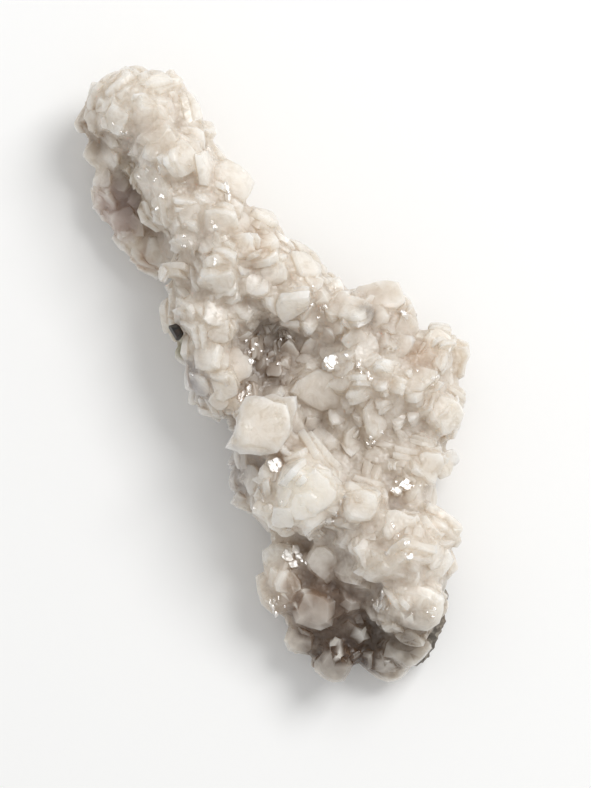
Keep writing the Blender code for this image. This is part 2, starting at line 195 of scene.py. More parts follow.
LOBES = (
    Lobe("arm cap", (-21.2, 42.0, 12.5), (7.8, 6.8, 8.6)),
    Lobe("arm tip left", (-26.8, 40.8, 10.5), (3.4, 3.8, 5.4)),
    Lobe("arm upper", (-16.4, 34.0, 13.0), (6.6, 7.6, 9.4)),
    Lobe("arm middle", (-11.6, 26.8, 13.0), (7.2, 7.6, 9.8)),
    Lobe("arm lower", (-7.0, 19.2, 12.5), (9.0, 8.4, 9.8)),
    Lobe("ledge tip", (-27.2, 29.8, 6.0), (3.0, 3.6, 3.4)),
    Lobe("ledge root", (-22.8, 24.4, 6.2), (4.0, 5.2, 3.8)),
    Lobe("gap floor", (-22.4, 30.4, 6.0), (4.4, 5.0, 3.4)),
    Lobe("gap top", (-25.4, 35.0, 6.4), (3.4, 3.4, 4.2)),
    Lobe("ledge foot", (-19.6, 19.4, 4.8), (2.6, 3.4, 2.8)),
    Lobe("shoulder", (1.6, 13.6, 11.0), (8.0, 6.4, 8.4)),
    Lobe("waist", (-9.8, 8.8, 11.0), (6.6, 8.0, 8.8)),
    Lobe("waist edge", (-13.6, 4.4, 9.2), (1.6, 2.8, 4.4)),
    Lobe("waist below", (-8.0, -0.4, 10.0), (4.4, 6.6, 8.4)),
    Lobe("fan top", (14.0, 9.2, 9.5), (8.4, 5.0, 7.8)),
    Lobe("fan middle", (16.6, -1.0, 9.5), (10.2, 8.6, 8.6)),
    Lobe("fan edge", (26.0, 3.4, 9.0), (3.4, 5.0, 5.4)),
    Lobe("fan corner", (26.0, -5.8, 9.0), (3.8, 6.0, 6.4)),
    Lobe("below the fan", (15.4, -12.4, 8.6), (6.4, 6.4, 6.6)),
    Lobe("right notch", (20.6, -19.4, 7.4), (4.2, 4.6, 5.6)),
    Lobe("right swell inner", (15.8, -27.2, 12.0), (4.6, 5.6, 9.2)),
    Lobe("valley floor", (-1.0, 5.4, 6.4), (6.0, 6.0, 5.4)),
    Lobe("fan foot", (22.4, -13.4, 9.0), (5.4, 6.0, 7.4)),
    Lobe("plate knob", (-1.8, -8.0, 14.0), (4.8, 5.0, 8.6)),
    Lobe("brow", (4.2, -18.4, 13.5), (6.8, 7.4, 10.0)),
    Lobe("brow side", (12.6, -20.6, 12.5), (5.2, 4.6, 9.6)),
    Lobe("right swell", (21.6, -27.0, 12.0), (6.0, 6.6, 10.0)),
    Lobe("right swell below", (21.0, -35.6, 11.0), (5.6, 6.8, 9.4)),
    Lobe("right swell edge", (24.2, -30.6, 9.6), (3.4, 5.2, 5.6)),
    Lobe("recess floor", (9.0, -36.0, 6.4), (8.8, 7.8, 5.0)),
    Lobe("lower left rim", (1.6, -31.4, 7.4), (2.8, 6.8, 5.4), -8.0),
    Lobe("left flank", (-2.6, -17.2, 7.6), (3.0, 8.6, 5.6), 22.0),
    Lobe("bottom left knob", (9.8, -44.4, 7.0), (2.6, 2.8, 4.8)),
    Lobe("bottom right knob", (17.6, -44.6, 6.6), (3.6, 3.0, 4.6)),
    Lobe("bottom saddle", (13.6, -42.8, 5.0), (3.4, 3.4, 3.6)),
    Lobe("root upper", (4.6, -6.0, 6.0), (12.0, 14.0, 7.0)),
    Lobe("root lower", (12.0, -27.0, 6.0), (11.5, 14.0, 6.8)),
    Lobe("arm root", (-12.0, 22.0, 6.2), (6.0, 13.0, 6.4), 24.0),
)

# The forms that grow together in one place. One that stands twice is drawn twice as often.
MASSIVE = (Form.SHIELD, Form.BLOCK, Form.PLATE, Form.BLOCK)
MIXED = (Form.SHIELD, Form.PLATE, Form.PLATE, Form.BLOCK)
BLADED = (Form.LENS, Form.LENS, Form.LENS, Form.LENS, Form.PLATE)

HABITS = (
    Habit("cap", (-21.0, 41.0, 20.0), 10.6, MASSIVE, (2, 14), 8, 0.07, 0.21, 0.0, 0.55),
    Habit("arm", (-14.5, 30.0, 21.0), 10.4, MASSIVE, (2, 18), 9, 0.07, 0.21, 0.0, 0.5),
    Habit("arm side", (-20.5, 30.0, 11.0), 9.4, MASSIVE, (3, 22), 12, 0.11, 0.24, 0.0, 0.5),
    Habit("ledge", (-25.0, 26.5, 8.0), 9.6, MASSIVE, (2, 16), 10, 0.11, 0.24, 0.0, 0.6),
    Habit("arm foot", (-5.0, 20.0, 21.0), 9.4, MIXED, (10, 46), 18, 0.14, 0.24, 0.2, 0.3),
    Habit("shoulder", (4.0, 14.5, 17.0), 8.4, MIXED, (14, 50), 18, 0.16, 0.25, 0.1, 0.15),
    Habit("waist", (-10.0, 7.0, 18.0), 9.8, MIXED, (10, 46), 20, 0.14, 0.24, 0.2, 0.3),
    Habit("valley", (0.0, 3.0, 13.0), 7.0, MIXED, (20, 60), 26, 0.16, 0.25, 0.4, 0.1),
    Habit("fan top", (14.0, 10.0, 16.0), 9.2, MIXED, (8, 40), 16, 0.14, 0.25, 0.1, 0.3),
    Habit("fan", (17.0, -2.0, 17.0), 10.2, BLADED, (55, 80), 12, 0.15, 0.21, 0.1, 0.15),
    Habit("fan edge", (27.0, 0.0, 10.0), 9.2, BLADED, (30, 76), 18, 0.16, 0.22, 0.1, 0.2),
    Habit("brow", (4.0, -15.0, 22.0), 10.6, MIXED, (4, 38), 16, 0.13, 0.24, 0.2, 0.3),
    Habit("flank", (-5.0, -16.0, 6.0), 6.2, MASSIVE, (10, 45), 24, 0.14, 0.25, 0.4, 0.2),
    Habit("right swell", (22.0, -30.0, 20.0), 11.0, MASSIVE, (2, 22), 10, 0.08, 0.21, 0.0, 0.5),
    Habit("recess", (9.0, -37.0, 12.0), 9.4, (Form.KNOB, Form.BLOCK), (4, 36), 20, 0.12, 0.24, 0.2, 0.6),
    Habit("foot", (14.0, -46.0, 7.0), 9.0, (Form.KNOB, Form.BLOCK), (4, 36), 20, 0.12, 0.24, 0.2, 0.6),
)

PLATES = (
    Plate("big plate", (-1.6, -7.8), 2.6, 14.0, 3.6, 6, 60, 38),
    Plate("big plate corner", (-4.9, -3.4), 1.8, 6.2, 3.2, 42, 140, 60),
    Plate("waist plate", (-7.2, 1.2), 1.8, 8.2, 3.6, 24, 60, 10),
    Plate("rounded rhomb", (13.3, -20.8), 2.4, 6.8, 4.6, 8, 20, 62, Form.BLOCK),
    Plate("brow plate left", (0.6, -15.4), 1.8, 8.4, 4.2, 18, 110, 20),
    Plate("brow plate middle", (6.2, -18.6), 2.0, 9.4, 4.4, 8, 300, 75),
    Plate("brow plate low", (4.8, -25.0), 1.6, 9.0, 4.2, 22, 260, 10),
    Plate("glassy corner", (1.8, -28.6), 1.6, 4.6, 2.6, 30, 200, 40),
    Plate("right lobe top", (19.6, -24.4), 2.0, 9.4, 5.0, 12, 20, 35),
    Plate("right lobe side", (25.0, -29.4), 1.6, 8.0, 5.0, 34, 10, 10, Form.BLOCK),
    Plate("lens pair left", (17.0, -35.6), 3.2, 9.0, 4.4, 30, 190, 84, Form.LENS),
    Plate("lens pair right", (22.6, -36.4), 2.2, 9.6, 6.0, 16, 250, 50, Form.KNOB),
    Plate("low block", (20.8, -42.6), 2.4, 9.4, 7.0, 24, 285, 20, Form.KNOB),
    Plate("recess round left", (6.8, -37.4), 3.0, 9.8, 7.6, 10, 200, 35, Form.KNOB),
    Plate("recess round right", (12.2, -34.8), 2.2, 8.4, 6.4, 14, 40, 70, Form.KNOB),
    Plate("recess left edge", (1.4, -34.4), 1.8, 9.4, 6.6, 26, 190, 80, Form.KNOB),
    Plate("recess low", (12.0, -40.4), 1.8, 8.4, 6.2, 20, 250, 10, Form.KNOB),
    Plate("recess low left", (5.0, -42.0), 1.4, 8.0, 6.4, 24, 220, 40, Form.KNOB),
    Plate("bottom knob", (9.8, -45.6), 2.2, 8.4, 6.8, 18, 260, 15, Form.KNOB),
    Plate("bottom right knob", (18.0, -46.4), 1.6, 8.6, 6.2, 24, 280, 30, Form.KNOB),
    Plate("flank slab", (1.0, -29.6), 1.2, 8.0, 4.4, 26, 190, 70, Form.KNOB),
    Plate("hanging plate left", (2.6, 3.6), 2.8, 6.4, 3.0, 26, 240, 78, Form.LENS),
    Plate("hanging plate right", (5.9, 3.8), 3.0, 6.8, 3.0, 28, 290, 100, Form.LENS),
    Plate("bright tile", (9.6, 1.8), 3.0, 4.2, 2.0, 20, 45, 20),
    Plate("arched plate", (14.6, 3.2), 2.4, 8.2, 3.4, 20, 30, 80, Form.LENS),
    Plate("wide plate", (7.6, -2.2), 3.8, 12.6, 4.6, 14, 262, 172, Form.LENS),
    Plate("upright stack", (16.2, -6.2), 3.6, 10.0, 4.0, 34, 2, 86, Form.LENS),
    Plate("second stack", (20.6, -9.4), 2.8, 8.4, 3.6, 44, 20, 100, Form.LENS),
    Plate("low stack", (12.6, -10.0), 2.6, 8.0, 3.6, 44, 350, 66, Form.LENS),
    Plate("long lens", (22.6, -1.0), 2.8, 9.0, 3.4, 30, 85, 4, Form.LENS),
    Plate("right block", (25.8, 4.8), 1.6, 7.4, 4.8, 22, 30, 10, Form.BLOCK),
    Plate("right block below", (26.6, -6.2), 1.8, 7.2, 4.6, 24, 350, 30, Form.BLOCK),
    Plate("right foot block", (24.6, -14.0), 2.2, 6.8, 4.0, 26, 330, 50),
    Plate("cream lens", (5.6, 9.0), 2.2, 6.2, 3.0, 26, 40, 80, Form.LENS),
    Plate("white wedge", (-3.0, 11.6), 2.4, 9.2, 3.8, 34, 20, 80),
    Plate("olive lump", (-13.8, 3.4), 1.2, 4.6, 3.6, 12, 200, 30, Form.KNOB),
    Plate("long ridge", (-12.2, 10.6), 1.8, 7.6, 3.8, 30, 70, 12),
    Plate("under ridge", (-8.6, 7.0), 1.8, 6.2, 3.4, 20, 200, 30),
    Plate("white step", (-13.2, 21.6), 1.6, 7.4, 3.6, 14, 150, 30),
    Plate("cream step", (-15.4, 25.8), 1.6, 8.0, 3.8, 16, 120, 15),
    Plate("arm block", (-8.0, 25.4), 1.1, 7.2, 4.2, 18, 40, 40, Form.BLOCK),
    Plate("small tile", (-8.0, 19.8), 1.4, 4.4, 2.6, 20, 45, 70),
    Plate("right bump", (-13.6, 36.8), 0.8, 7.4, 4.6, 26, 20, 45, Form.BLOCK),
    Plate("cap front", (-20.6, 39.4), 1.0, 8.6, 4.6, 10, 250, 20),
    Plate("cap head", (-21.4, 43.4), 0.7, 8.4, 5.0, 30, 95, 60, Form.BLOCK),
    Plate("cap left", (-27.5, 40.2), 1.8, 5.6, 4.4, 32, 180, 85, Form.BLOCK),
    Plate("cap low left", (-20.0, 36.0), 1.2, 7.6, 4.0, 26, 230, 40),
    Plate("ledge plate", (-26.6, 29.2), 1.6, 7.6, 3.8, 10, 160, 60),
    Plate("ledge plate low", (-22.8, 23.6), 1.8, 7.4, 3.8, 12, 200, 70),
)


def select_only(obj: bpy.types.Object) -> None:
    """Makes the object the only selected and the active one.

    Args:
        obj: the object.
    """
    bpy.ops.object.select_all(action="DESELECT")
    obj.select_set(True)
    bpy.context.view_layer.objects.active = obj


@contextmanager
def editing(obj: bpy.types.Object) -> Iterator[None]:
    """Opens the object alone in edit mode with its whole mesh selected, and closes it in the end.

    Args:
        obj: the object.

    Returns:
        What a with statement holds open.
    """
    select_only(obj)
    bpy.ops.object.mode_set(mode="EDIT")
    bpy.ops.mesh.select_all(action="SELECT")
    yield
    bpy.ops.object.mode_set(mode="OBJECT")


def modify(obj: bpy.types.Object, name: str, kind: str, **settings: object) -> None:
    """Adds a modifier.

    Args:
        obj: the object.
        name: the modifier's name.
        kind: its type.
        settings: its settings, in the order in which they are set.
    """
    modifier = obj.modifiers.new(name, kind)
    for setting, value in settings.items():
        setattr(modifier, setting, value)


def roughen(
    obj: bpy.types.Object,
    name: str,
    kind: str,
    grain: float,
    height: float,
    level: float = 0.5,
    group: str = "",
) -> None:
    """Adds relief to the object from a texture that fills space.

    Args:
        obj: the object.
        name: what the relief is.
        kind: the texture's type.
        grain: its size, in millimetres.
        height: the relief's height, in millimetres.
        level: the texture's value where the surface stays.
        group: the vertex group that the relief is limited to, if any.
    """
    texture = bpy.data.textures.new(name, kind)
    texture.noise_scale = grain * MM
    relief = {"texture": texture, "texture_coords": "LOCAL", "strength": height * MM, "mid_level": level}
    modify(obj, name, "DISPLACE", **relief, vertex_group=group)


def apply_modifiers(obj: bpy.types.Object) -> None:
    """Makes the modifiers part of the mesh, in their order.

    Args:
        obj: the object.
    """
    select_only(obj)
    for modifier in list(obj.modifiers):
        bpy.ops.object.modifier_apply(modifier=modifier.name)


def pick(obj: bpy.types.Object, kind: str, test: Callable[..., bool]) -> None:
    """Selects the vertices or edges of the object in edit mode that pass a test, and no others.

    Args:
        obj: the object in edit mode.
        kind: VERT or EDGE.
        test: takes one or two vertex places and says whether to select.
    """
    bpy.ops.mesh.select_mode(type=kind)
    bpy.ops.mesh.select_all(action="DESELECT")
    bpy.ops.object.mode_set(mode="OBJECT")
    points = [vertex.co for vertex in obj.data.vertices]
    if kind == "VERT":
        for vertex in obj.data.vertices:
            vertex.select = test(vertex.co)
    else:
        for edge in obj.data.edges:
            edge.select = test(*(points[i] for i in edge.vertices))
    bpy.ops.object.mode_set(mode="EDIT")


def fuse(obj: bpy.types.Object, parts: list[bpy.types.Object], operation: str = "UNION") -> None:
    """Joins the parts to the object or cuts them from it, and removes them.

    Args:
        obj: the object, a closed mesh.
        parts: closed meshes.
        operation: UNION or DIFFERENCE.
    """
    group = bpy.data.collections.new("parts")
    bpy.context.scene.collection.children.link(group)
    for part in parts:
        group.objects.link(part)
    operand = {"operand_type": "COLLECTION", "solver": "MANIFOLD", "collection": group}
    modify(obj, "join", "BOOLEAN", operation=operation, **operand)
    apply_modifiers(obj)
    for part in parts:
        bpy.data.objects.remove(part)
    bpy.data.collections.remove(group)


@dataclass(frozen=True)
class Flash:
    """A cleavage face that mirrors the light into the eye.

    Args:
        at: its place seen from above, in millimetres.
        size: its width and length, in millimetres.
        spin: its turn in degrees.
    """

    at: tuple[float, float]
    size: tuple[float, float]
    spin: float


FLASHES = (
    Flash((-7.0, 28.4), (1.4, 3.8), 10),
    Flash((-9.4, 23.2), (1.3, 2.1), 20),
    Flash((-8.9, 17.8), (1.0, 1.8), 0),
    Flash((7.9, 10.8), (1.6, 2.6), 30),
    Flash((1.8, 6.1), (2.4, 2.8), 40),
    Flash((-2.5, 6.2), (1.2, 1.4), 0),
    Flash((-3.4, 1.6), (1.3, 2.1), -20),
    Flash((9.6, 1.8), (3.0, 2.4), 15),
    Flash((13.8, 1.4), (1.4, 1.8), -30),
    Flash((15.0, -0.2), (1.6, 2.0), 10),
    Flash((25.4, -0.6), (1.6, 1.0), 0),
    Flash((21.0, 10.1), (1.6, 2.4), 30),
    Flash((-4.9, -3.3), (1.4, 3.4), -30),
    Flash((0.2, -14.2), (3.2, 2.2), -35),
    Flash((11.0, -19.4), (1.2, 2.2), -20),
    Flash((20.2, -18.0), (3.4, 2.2), 10),
    Flash((8.3, -23.3), (2.4, 1.5), 20),
    Flash((2.5, -23.9), (1.0, 1.6), -10),
    Flash((3.0, -29.0), (3.0, 3.2), 45),
    Flash((19.0, -23.8), (0.6, 1.6), 0),
    Flash((21.4, -28.8), (2.0, 1.4), -15),
    Flash((0.2, -37.0), (1.4, 2.9), 10),
    Flash((17.2, -35.8), (2.0, 4.4), -12),
    Flash((15.4, -10.5), (1.2, 1.6), 0),
)


# Where small faces glitter, as the place, the reach in millimetres and how many there are.
SPARKS = (
    (-19.4, 31.4, 2.2, 7),
    (-17.6, 26.4, 1.8, 6),
    (-25.0, 39.0, 2.6, 4),
    (-14.0, 19.6, 2.6, 4),
    (-13.6, 0.6, 2.0, 6),
    (-8.4, -6.6, 2.0, 5),
    (-1.6, 4.0, 3.0, 9),
    (-4.0, -3.0, 1.6, 4),
    (0.4, -14.6, 2.6, 5),
    (-2.0, -20.0, 3.0, 6),
    (7.6, 11.2, 2.4, 5),
    (21.0, 10.0, 2.2, 5),
    (12.6, 0.4, 3.0, 6),
    (24.6, -1.4, 2.4, 4),
    (15.4, -11.0, 2.6, 5),
    (20.2, -18.0, 2.4, 5),
    (9.0, -22.6, 2.6, 5),
    (2.8, -28.6, 2.4, 6),
    (20.6, -27.4, 2.6, 5),
    (0.6, -36.4, 1.6, 5),
    (17.4, -36.2, 2.2, 5),
    (24.8, -38.0, 2.4, 5),
)


# Where no crystal grows, by the black crystal and the bare rock, given as the place and width of a
# crystal that isn't there.
CLEAR = (
    (-15.3, 6.8, 14.9, 3.6),
    (28.4, -36.6, 5.0, 7.0),
    (26.8, -39.6, 5.0, 8.0),
    (25.0, -42.8, 5.0, 8.0),
)


@dataclass(frozen=True)
class CrystalForm:
    """One saddle crystal of unit width, modelled once and then copied by the hundred.

    A crystal is a stack of leaves that nearly share an outline, which steps the edge of saddle dolomite.

    Args:
        form: which form it is.
        squareness: its short diagonal over its long one.
        leaf: the thickness of one leaf over its width.
        leaves: how many leaves it has.
        columns: the corners of a leaf's outline.
        notch: how far the outline strays in and out, as a share of its radius.
        rim: the bevel around the broad faces, as a share of its width.
        twist: the greatest turn of a leaf in its plane, in degrees.
        splay: the angle between two leaves, in degrees, open at one tip.
        shift: how far a leaf sits off the middle, as a share of its width.
        bow: how far the broad faces bend each way, in degrees.
        steps: how much smaller than the first leaf the others may be.
        corners: how full its outline is: one for a rhomb, two for an ellipse.
        terraced: whether its broad faces have a raised growth step.
        top: the width of a leaf's upper face against its lower one.
        pitch: the distance from leaf to leaf over their thickness.
        slide: how far a leaf's upper face slides towards one tip.
        terrace: how far in from the edge the growth step is.
        dome: how high the growth step and the dome on a broad face are.
        hinge: how far from the middle the tip is where the leaves meet.
    """

    form: Form
    squareness: float
    leaf: float
    leaves: int
    columns: int
    notch: float
    rim: float
    twist: float
    splay: float
    shift: float
    bow: float
    steps: float
    corners: float
    terraced: bool = False
    top: float = 0.93
    pitch: float = 0.8
    slide: float = 0.05
    terrace: float = 0.07
    dome: float = 0.012
    hinge: float = 0.35

    def one_leaf(self, draw: random.Random) -> bpy.types.Object:
        """Models one leaf: a slab with a rhomb's rounded outline, stepped in and out.

        Args:
            draw: what its irregularities are drawn with.

        Returns:
            The leaf.
        """
        bpy.ops.mesh.primitive_cylinder_add(
            vertices=self.columns, radius=0.5, depth=self.leaf, end_fill_type="NGON"
        )
        leaf = bpy.context.object
        with editing(leaf):
            for n in range(self.columns):
                turn = 2 * math.pi * n / self.columns
                way = Vector((math.sin(turn), math.cos(turn), 0))
                pick(leaf, "VERT", lambda point: point.x * way.x + point.y * way.y > OUTERMOST)
                rhomb = 1 / (abs(way.x) ** self.corners + abs(way.y) ** self.corners) ** (1 / self.corners)
                scale = rhomb * (1 + draw.uniform(-self.notch, self.notch))
                bpy.ops.transform.resize(value=(scale, scale, 1), center_override=(0, 0, 0))
            bpy.ops.mesh.select_all(action="SELECT")
            bpy.ops.transform.resize(value=(1, self.squareness, 1), center_override=(0, 0, 0))
            pick(leaf, "VERT", lambda point: point.z > 0)
            bpy.ops.transform.resize(value=(self.top, self.top, 1), center_override=(0, 0, 0))
            bpy.ops.transform.translate(value=(self.slide, 0, 0))
            pick(leaf, "EDGE", lambda a, b: abs(a.z - b.z) < self.leaf / 20)
            bpy.ops.mesh.bevel(offset=self.rim, segments=1, affect="EDGES")
            bpy.ops.mesh.select_mode(type="FACE")
            bpy.ops.mesh.select_all(action="DESELECT")
            bpy.ops.object.mode_set(mode="OBJECT")
            for face in leaf.data.polygons:
                face.select = len(face.vertices) > 4
            bpy.ops.object.mode_set(mode="EDIT")
            if self.terraced:
                bpy.ops.mesh.inset(thickness=self.terrace, depth=self.dome)
            bpy.ops.mesh.poke(offset=self.dome)
        return leaf

    def model(self, seed: int) -> tuple[np.ndarray, list[tuple[int, ...]]]:
        """Models the crystal.

        Args:
            seed: what its small irregularities are drawn with.

        Returns:
            Its points, with a width of one around the origin, and its faces as indices of them.
        """
        draw = random.Random(seed)
        leaves = []
        for n in range(self.leaves):
            leaf = self.one_leaf(draw)
            level = n - (self.leaves - 1) / 2
            off = Vector((draw.uniform(-1, 1), draw.uniform(-1, 1), 0)) * self.shift
            size = 1 - draw.uniform(0, self.steps) if n else 1.0
            leaf.matrix_world = (
                Matrix.Translation((-self.hinge, 0, 0))
                @ Matrix.Rotation(math.radians(-self.splay * level), 4, "Y")
                @ Matrix.Translation(Vector((self.hinge, 0, self.leaf * self.pitch * level)) + off)
                @ Matrix.Rotation(math.radians(draw.uniform(-self.twist, self.twist)), 4, "Z")
                @ Matrix.Diagonal((size, size, 1, 1))
            )
            select_only(leaf)
            bpy.ops.object.transform_apply()
            leaves.append(leaf)
        obj = leaves.pop(0)
        if leaves:
            fuse(obj, leaves)
        with editing(obj):
            bpy.ops.mesh.quads_convert_to_tris()
            bpy.ops.transform.rotate(value=math.radians(90), orient_axis="X", center_override=(0, 0, 0))
        for axis, bow in (("Z", self.bow), ("X", -self.bow)):
            bend = {"deform_method": "BEND", "deform_axis": axis, "angle": math.radians(bow)}
            modify(obj, "saddle", "SIMPLE_DEFORM", **bend)
        apply_modifiers(obj)
        with editing(obj):
            bpy.ops.transform.rotate(value=math.radians(-90), orient_axis="X", center_override=(0, 0, 0))
        points = np.array([vertex.co[:] for vertex in obj.data.vertices])
        points -= (points.max(axis=0) + points.min(axis=0)) / 2
        points /= np.ptp(points[:, 0])
        faces = [tuple(face.vertices) for face in obj.data.polygons]
        bpy.data.objects.remove(obj)
        return points, faces


FORMS = (
    CrystalForm(Form.SHIELD, 0.84, 0.15, 3, 17, 0.10, 0.025, 11, 0, 0.06, 44, 0.14, 1.15, terraced=True),
    CrystalForm(Form.PLATE, 0.82, 0.16, 2, 13, 0.09, 0.025, 14, 0, 0.09, 46, 0.18, 1.1),
    CrystalForm(Form.BLOCK, 0.87, 0.22, 2, 11, 0.07, 0.05, 14, 0, 0.08, 34, 0.14, 1.28),
    CrystalForm(Form.LENS, 0.54, 0.15, 3, 13, 0.05, 0.03, 7, 3, 0.04, 30, 0.10, 1.4, top=0.97, pitch=0.62),
    CrystalForm(Form.KNOB, 0.90, 0.30, 2, 11, 0.06, 0.10, 16, 0, 0.09, 20, 0.16, 1.25),
    CrystalForm(Form.GRAIN, 0.80, 0.50, 1, 11, 0.22, 0.02, 0, 0, 0.0, 8, 0.0, 1.35),
)


@dataclass
class Crystal:
    """One crystal in its place.

    Args:
        frame: carries it from its own axes, in widths, to the specimen's, in metres.
        width: its long diagonal in millimetres.
        stretch: its thickness against its form's.
        shape: which modelled shape it copies.
        glint: whether its faces are mirror-smooth.
    """

    frame: Matrix
    width: float
    stretch: float
    shape: int
    glint: bool = False

    def overhang(self, ground: BVHTree) -> float:
        """Measures how far its farthest tip stands out.

        Args:
            ground: the surface that it stands on.

        Returns:
            The distance, in millimetres.
        """
        farthest = 0.0
        for x, y in ((0.5, 0.0), (-0.5, 0.0), (0.0, 0.4), (0.0, -0.4)):
            tip = self.frame @ (Vector((x, y, 0)) * self.width * MM)
            foot, normal, _, _ = ground.find_nearest(tip)
            farthest = max(farthest, (tip - foot).dot(normal) / MM)
        return farthest


def leaning(lean: float, lean_to: float) -> Vector:
    """Returns the unit vector that leans from +Z by lean degrees towards the direction lean_to."""
    out, up = math.sin(math.radians(lean)), math.cos(math.radians(lean))
    return Vector((out * math.cos(math.radians(lean_to)), out * math.sin(math.radians(lean_to)), up))


def facing(normal: Vector, spin: float) -> Matrix:
    """Returns the rotation that turns +Z to normal, after a spin about +Z in degrees."""
    tilt = Vector((0, 0, 1)).rotation_difference(normal).to_matrix().to_4x4()
    return tilt @ Matrix.Rotation(math.radians(spin), 4, "Z")


def reach(width: float, thickness: float, lean: float) -> float:
    """Returns how far a crystal that leans by that many degrees reaches above its middle."""
    return thickness / 2 * math.cos(math.radians(lean)) + width / 2.4 * math.sin(math.radians(lean))


@dataclass
class Shapes:
    """The modelled crystal shapes, a few of each form, which every crystal copies.

    Args:
        variants: how many shapes of each form there are.
        meshes: the points and faces of each shape.
        index: the shapes of each form, as indices of meshes.
        thickness: the thickness of each form over its width.
    """

    variants: int = 4
    meshes: list[tuple[np.ndarray, list[tuple[int, ...]]]] = field(default_factory=list)
    index: dict[Form, list[int]] = field(default_factory=dict)
    thickness: dict[Form, float] = field(default_factory=dict)

    def model(self) -> None:
        """Models every shape."""
        for form in FORMS:
            for n in range(self.variants):
                self.index.setdefault(form.form, []).append(len(self.meshes))
                self.meshes.append(form.model(SEED + n))
            heights = [np.ptp(self.meshes[i][0][:, 2]) for i in self.index[form.form]]
            self.thickness[form.form] = float(np.mean(heights))

    def copies(self, name: str, crystals: list[Crystal]) -> bpy.types.Object:
        """Makes one object of crystals that don't touch each other.

        Args:
            name: the object's name.
            crystals: the crystals.

        Returns:
            The object. Its map Growth holds the height within a crystal in millimetres and the crystal's own
            number, and its map Face how near the outline is, from nought to one, and whether it is a mirror.
        """
        points, faces, growth, face_map = [], [], [], []
        start = 0
        for number, crystal in enumerate(crystals):
            shape, shape_faces = self.meshes[crystal.shape]
            local = shape * np.array([1.0, 1.0, crystal.stretch])
            turn = np.array(crystal.frame.to_3x3()) * crystal.width * MM
            points.append(local @ turn.T + np.array(crystal.frame.translation))
            # The golden section spreads the crystals' own numbers evenly.
            own = (number * 0.6180339 + crystal.width * 7.13) % 1.0
            rim = np.hypot(local[:, 0] / local[:, 0].max(), local[:, 1] / local[:, 1].max())
            for corners in shape_faces:
                faces.append(tuple(start + i for i in corners))
                for i in corners:
                    growth.append((local[i, 2] * crystal.width, own))
                    face_map.append((rim[i], 1.0 if crystal.glint else 0.0))
            start += len(shape)
        mesh = bpy.data.meshes.new(name)
        mesh.from_pydata(np.vstack(points).tolist(), [], faces)
        mesh.uv_layers.new(name="Growth").uv.foreach_set("vector", np.array(growth, dtype=np.float32).ravel())
        mesh.uv_layers.new(name="Face").uv.foreach_set("vector", np.array(face_map, dtype=np.float32).ravel())
        obj = bpy.data.objects.new(name, mesh)
        bpy.context.scene.collection.objects.link(obj)
        return obj


def batches(crystals: list[Crystal], room: float = 0.6) -> list[list[Crystal]]:
    """Sorts crystals into batches in which none touches another, so that each batch is one clean mesh.

    Args:
        crystals: the crystals.
        room: the least distance between two as a share of their two widths.

    Returns:
        The batches.
    """
    places = np.array([crystal.frame.translation[:] for crystal in crystals]) / MM
    widths = np.array([crystal.width for crystal in crystals])
    sorted_out: list[list[int]] = []
    for i in range(len(crystals)):
        for batch in sorted_out:
            away = np.linalg.norm(places[batch] - places[i], axis=1)
            if (away > room * (widths[batch] + widths[i])).all():
                batch.append(i)
                break
        else:
            sorted_out.append([i])
    return [[crystals[i] for i in batch] for batch in sorted_out]


def surface_of(obj: bpy.types.Object) -> BVHTree:
    """Takes the object's surface for rays.

    Args:
        obj: the object.

    Returns:
        The surface.
    """
    return BVHTree.FromPolygons(
        [vertex.co for vertex in obj.data.vertices], [tuple(face.vertices) for face in obj.data.polygons]
    )


@dataclass(frozen=True)
class Growth:
    """One generation of crystals.

    Args:
        sizes: the least and greatest width, as shares of the largest of its place.
        tries: the points drawn for it.
        room: how far apart they keep, against the habit's own spacing.
        sunk: the share of their reach by which they sink.
        walls: how many of the rays near the normal must meet a neighbour.
    """

    sizes: tuple[float, float]
    tries: int
    room: float
    sunk: float
    walls: int = 0


GROUND = Growth((0.58, 0.76), 12000, 0.92, 0.9)
LARGE = Growth((0.80, 1.05), 8000, 1.2, 0.56)
SMALL = Growth((0.30, 0.42), 3000, 1.4, 0.7, walls=3)


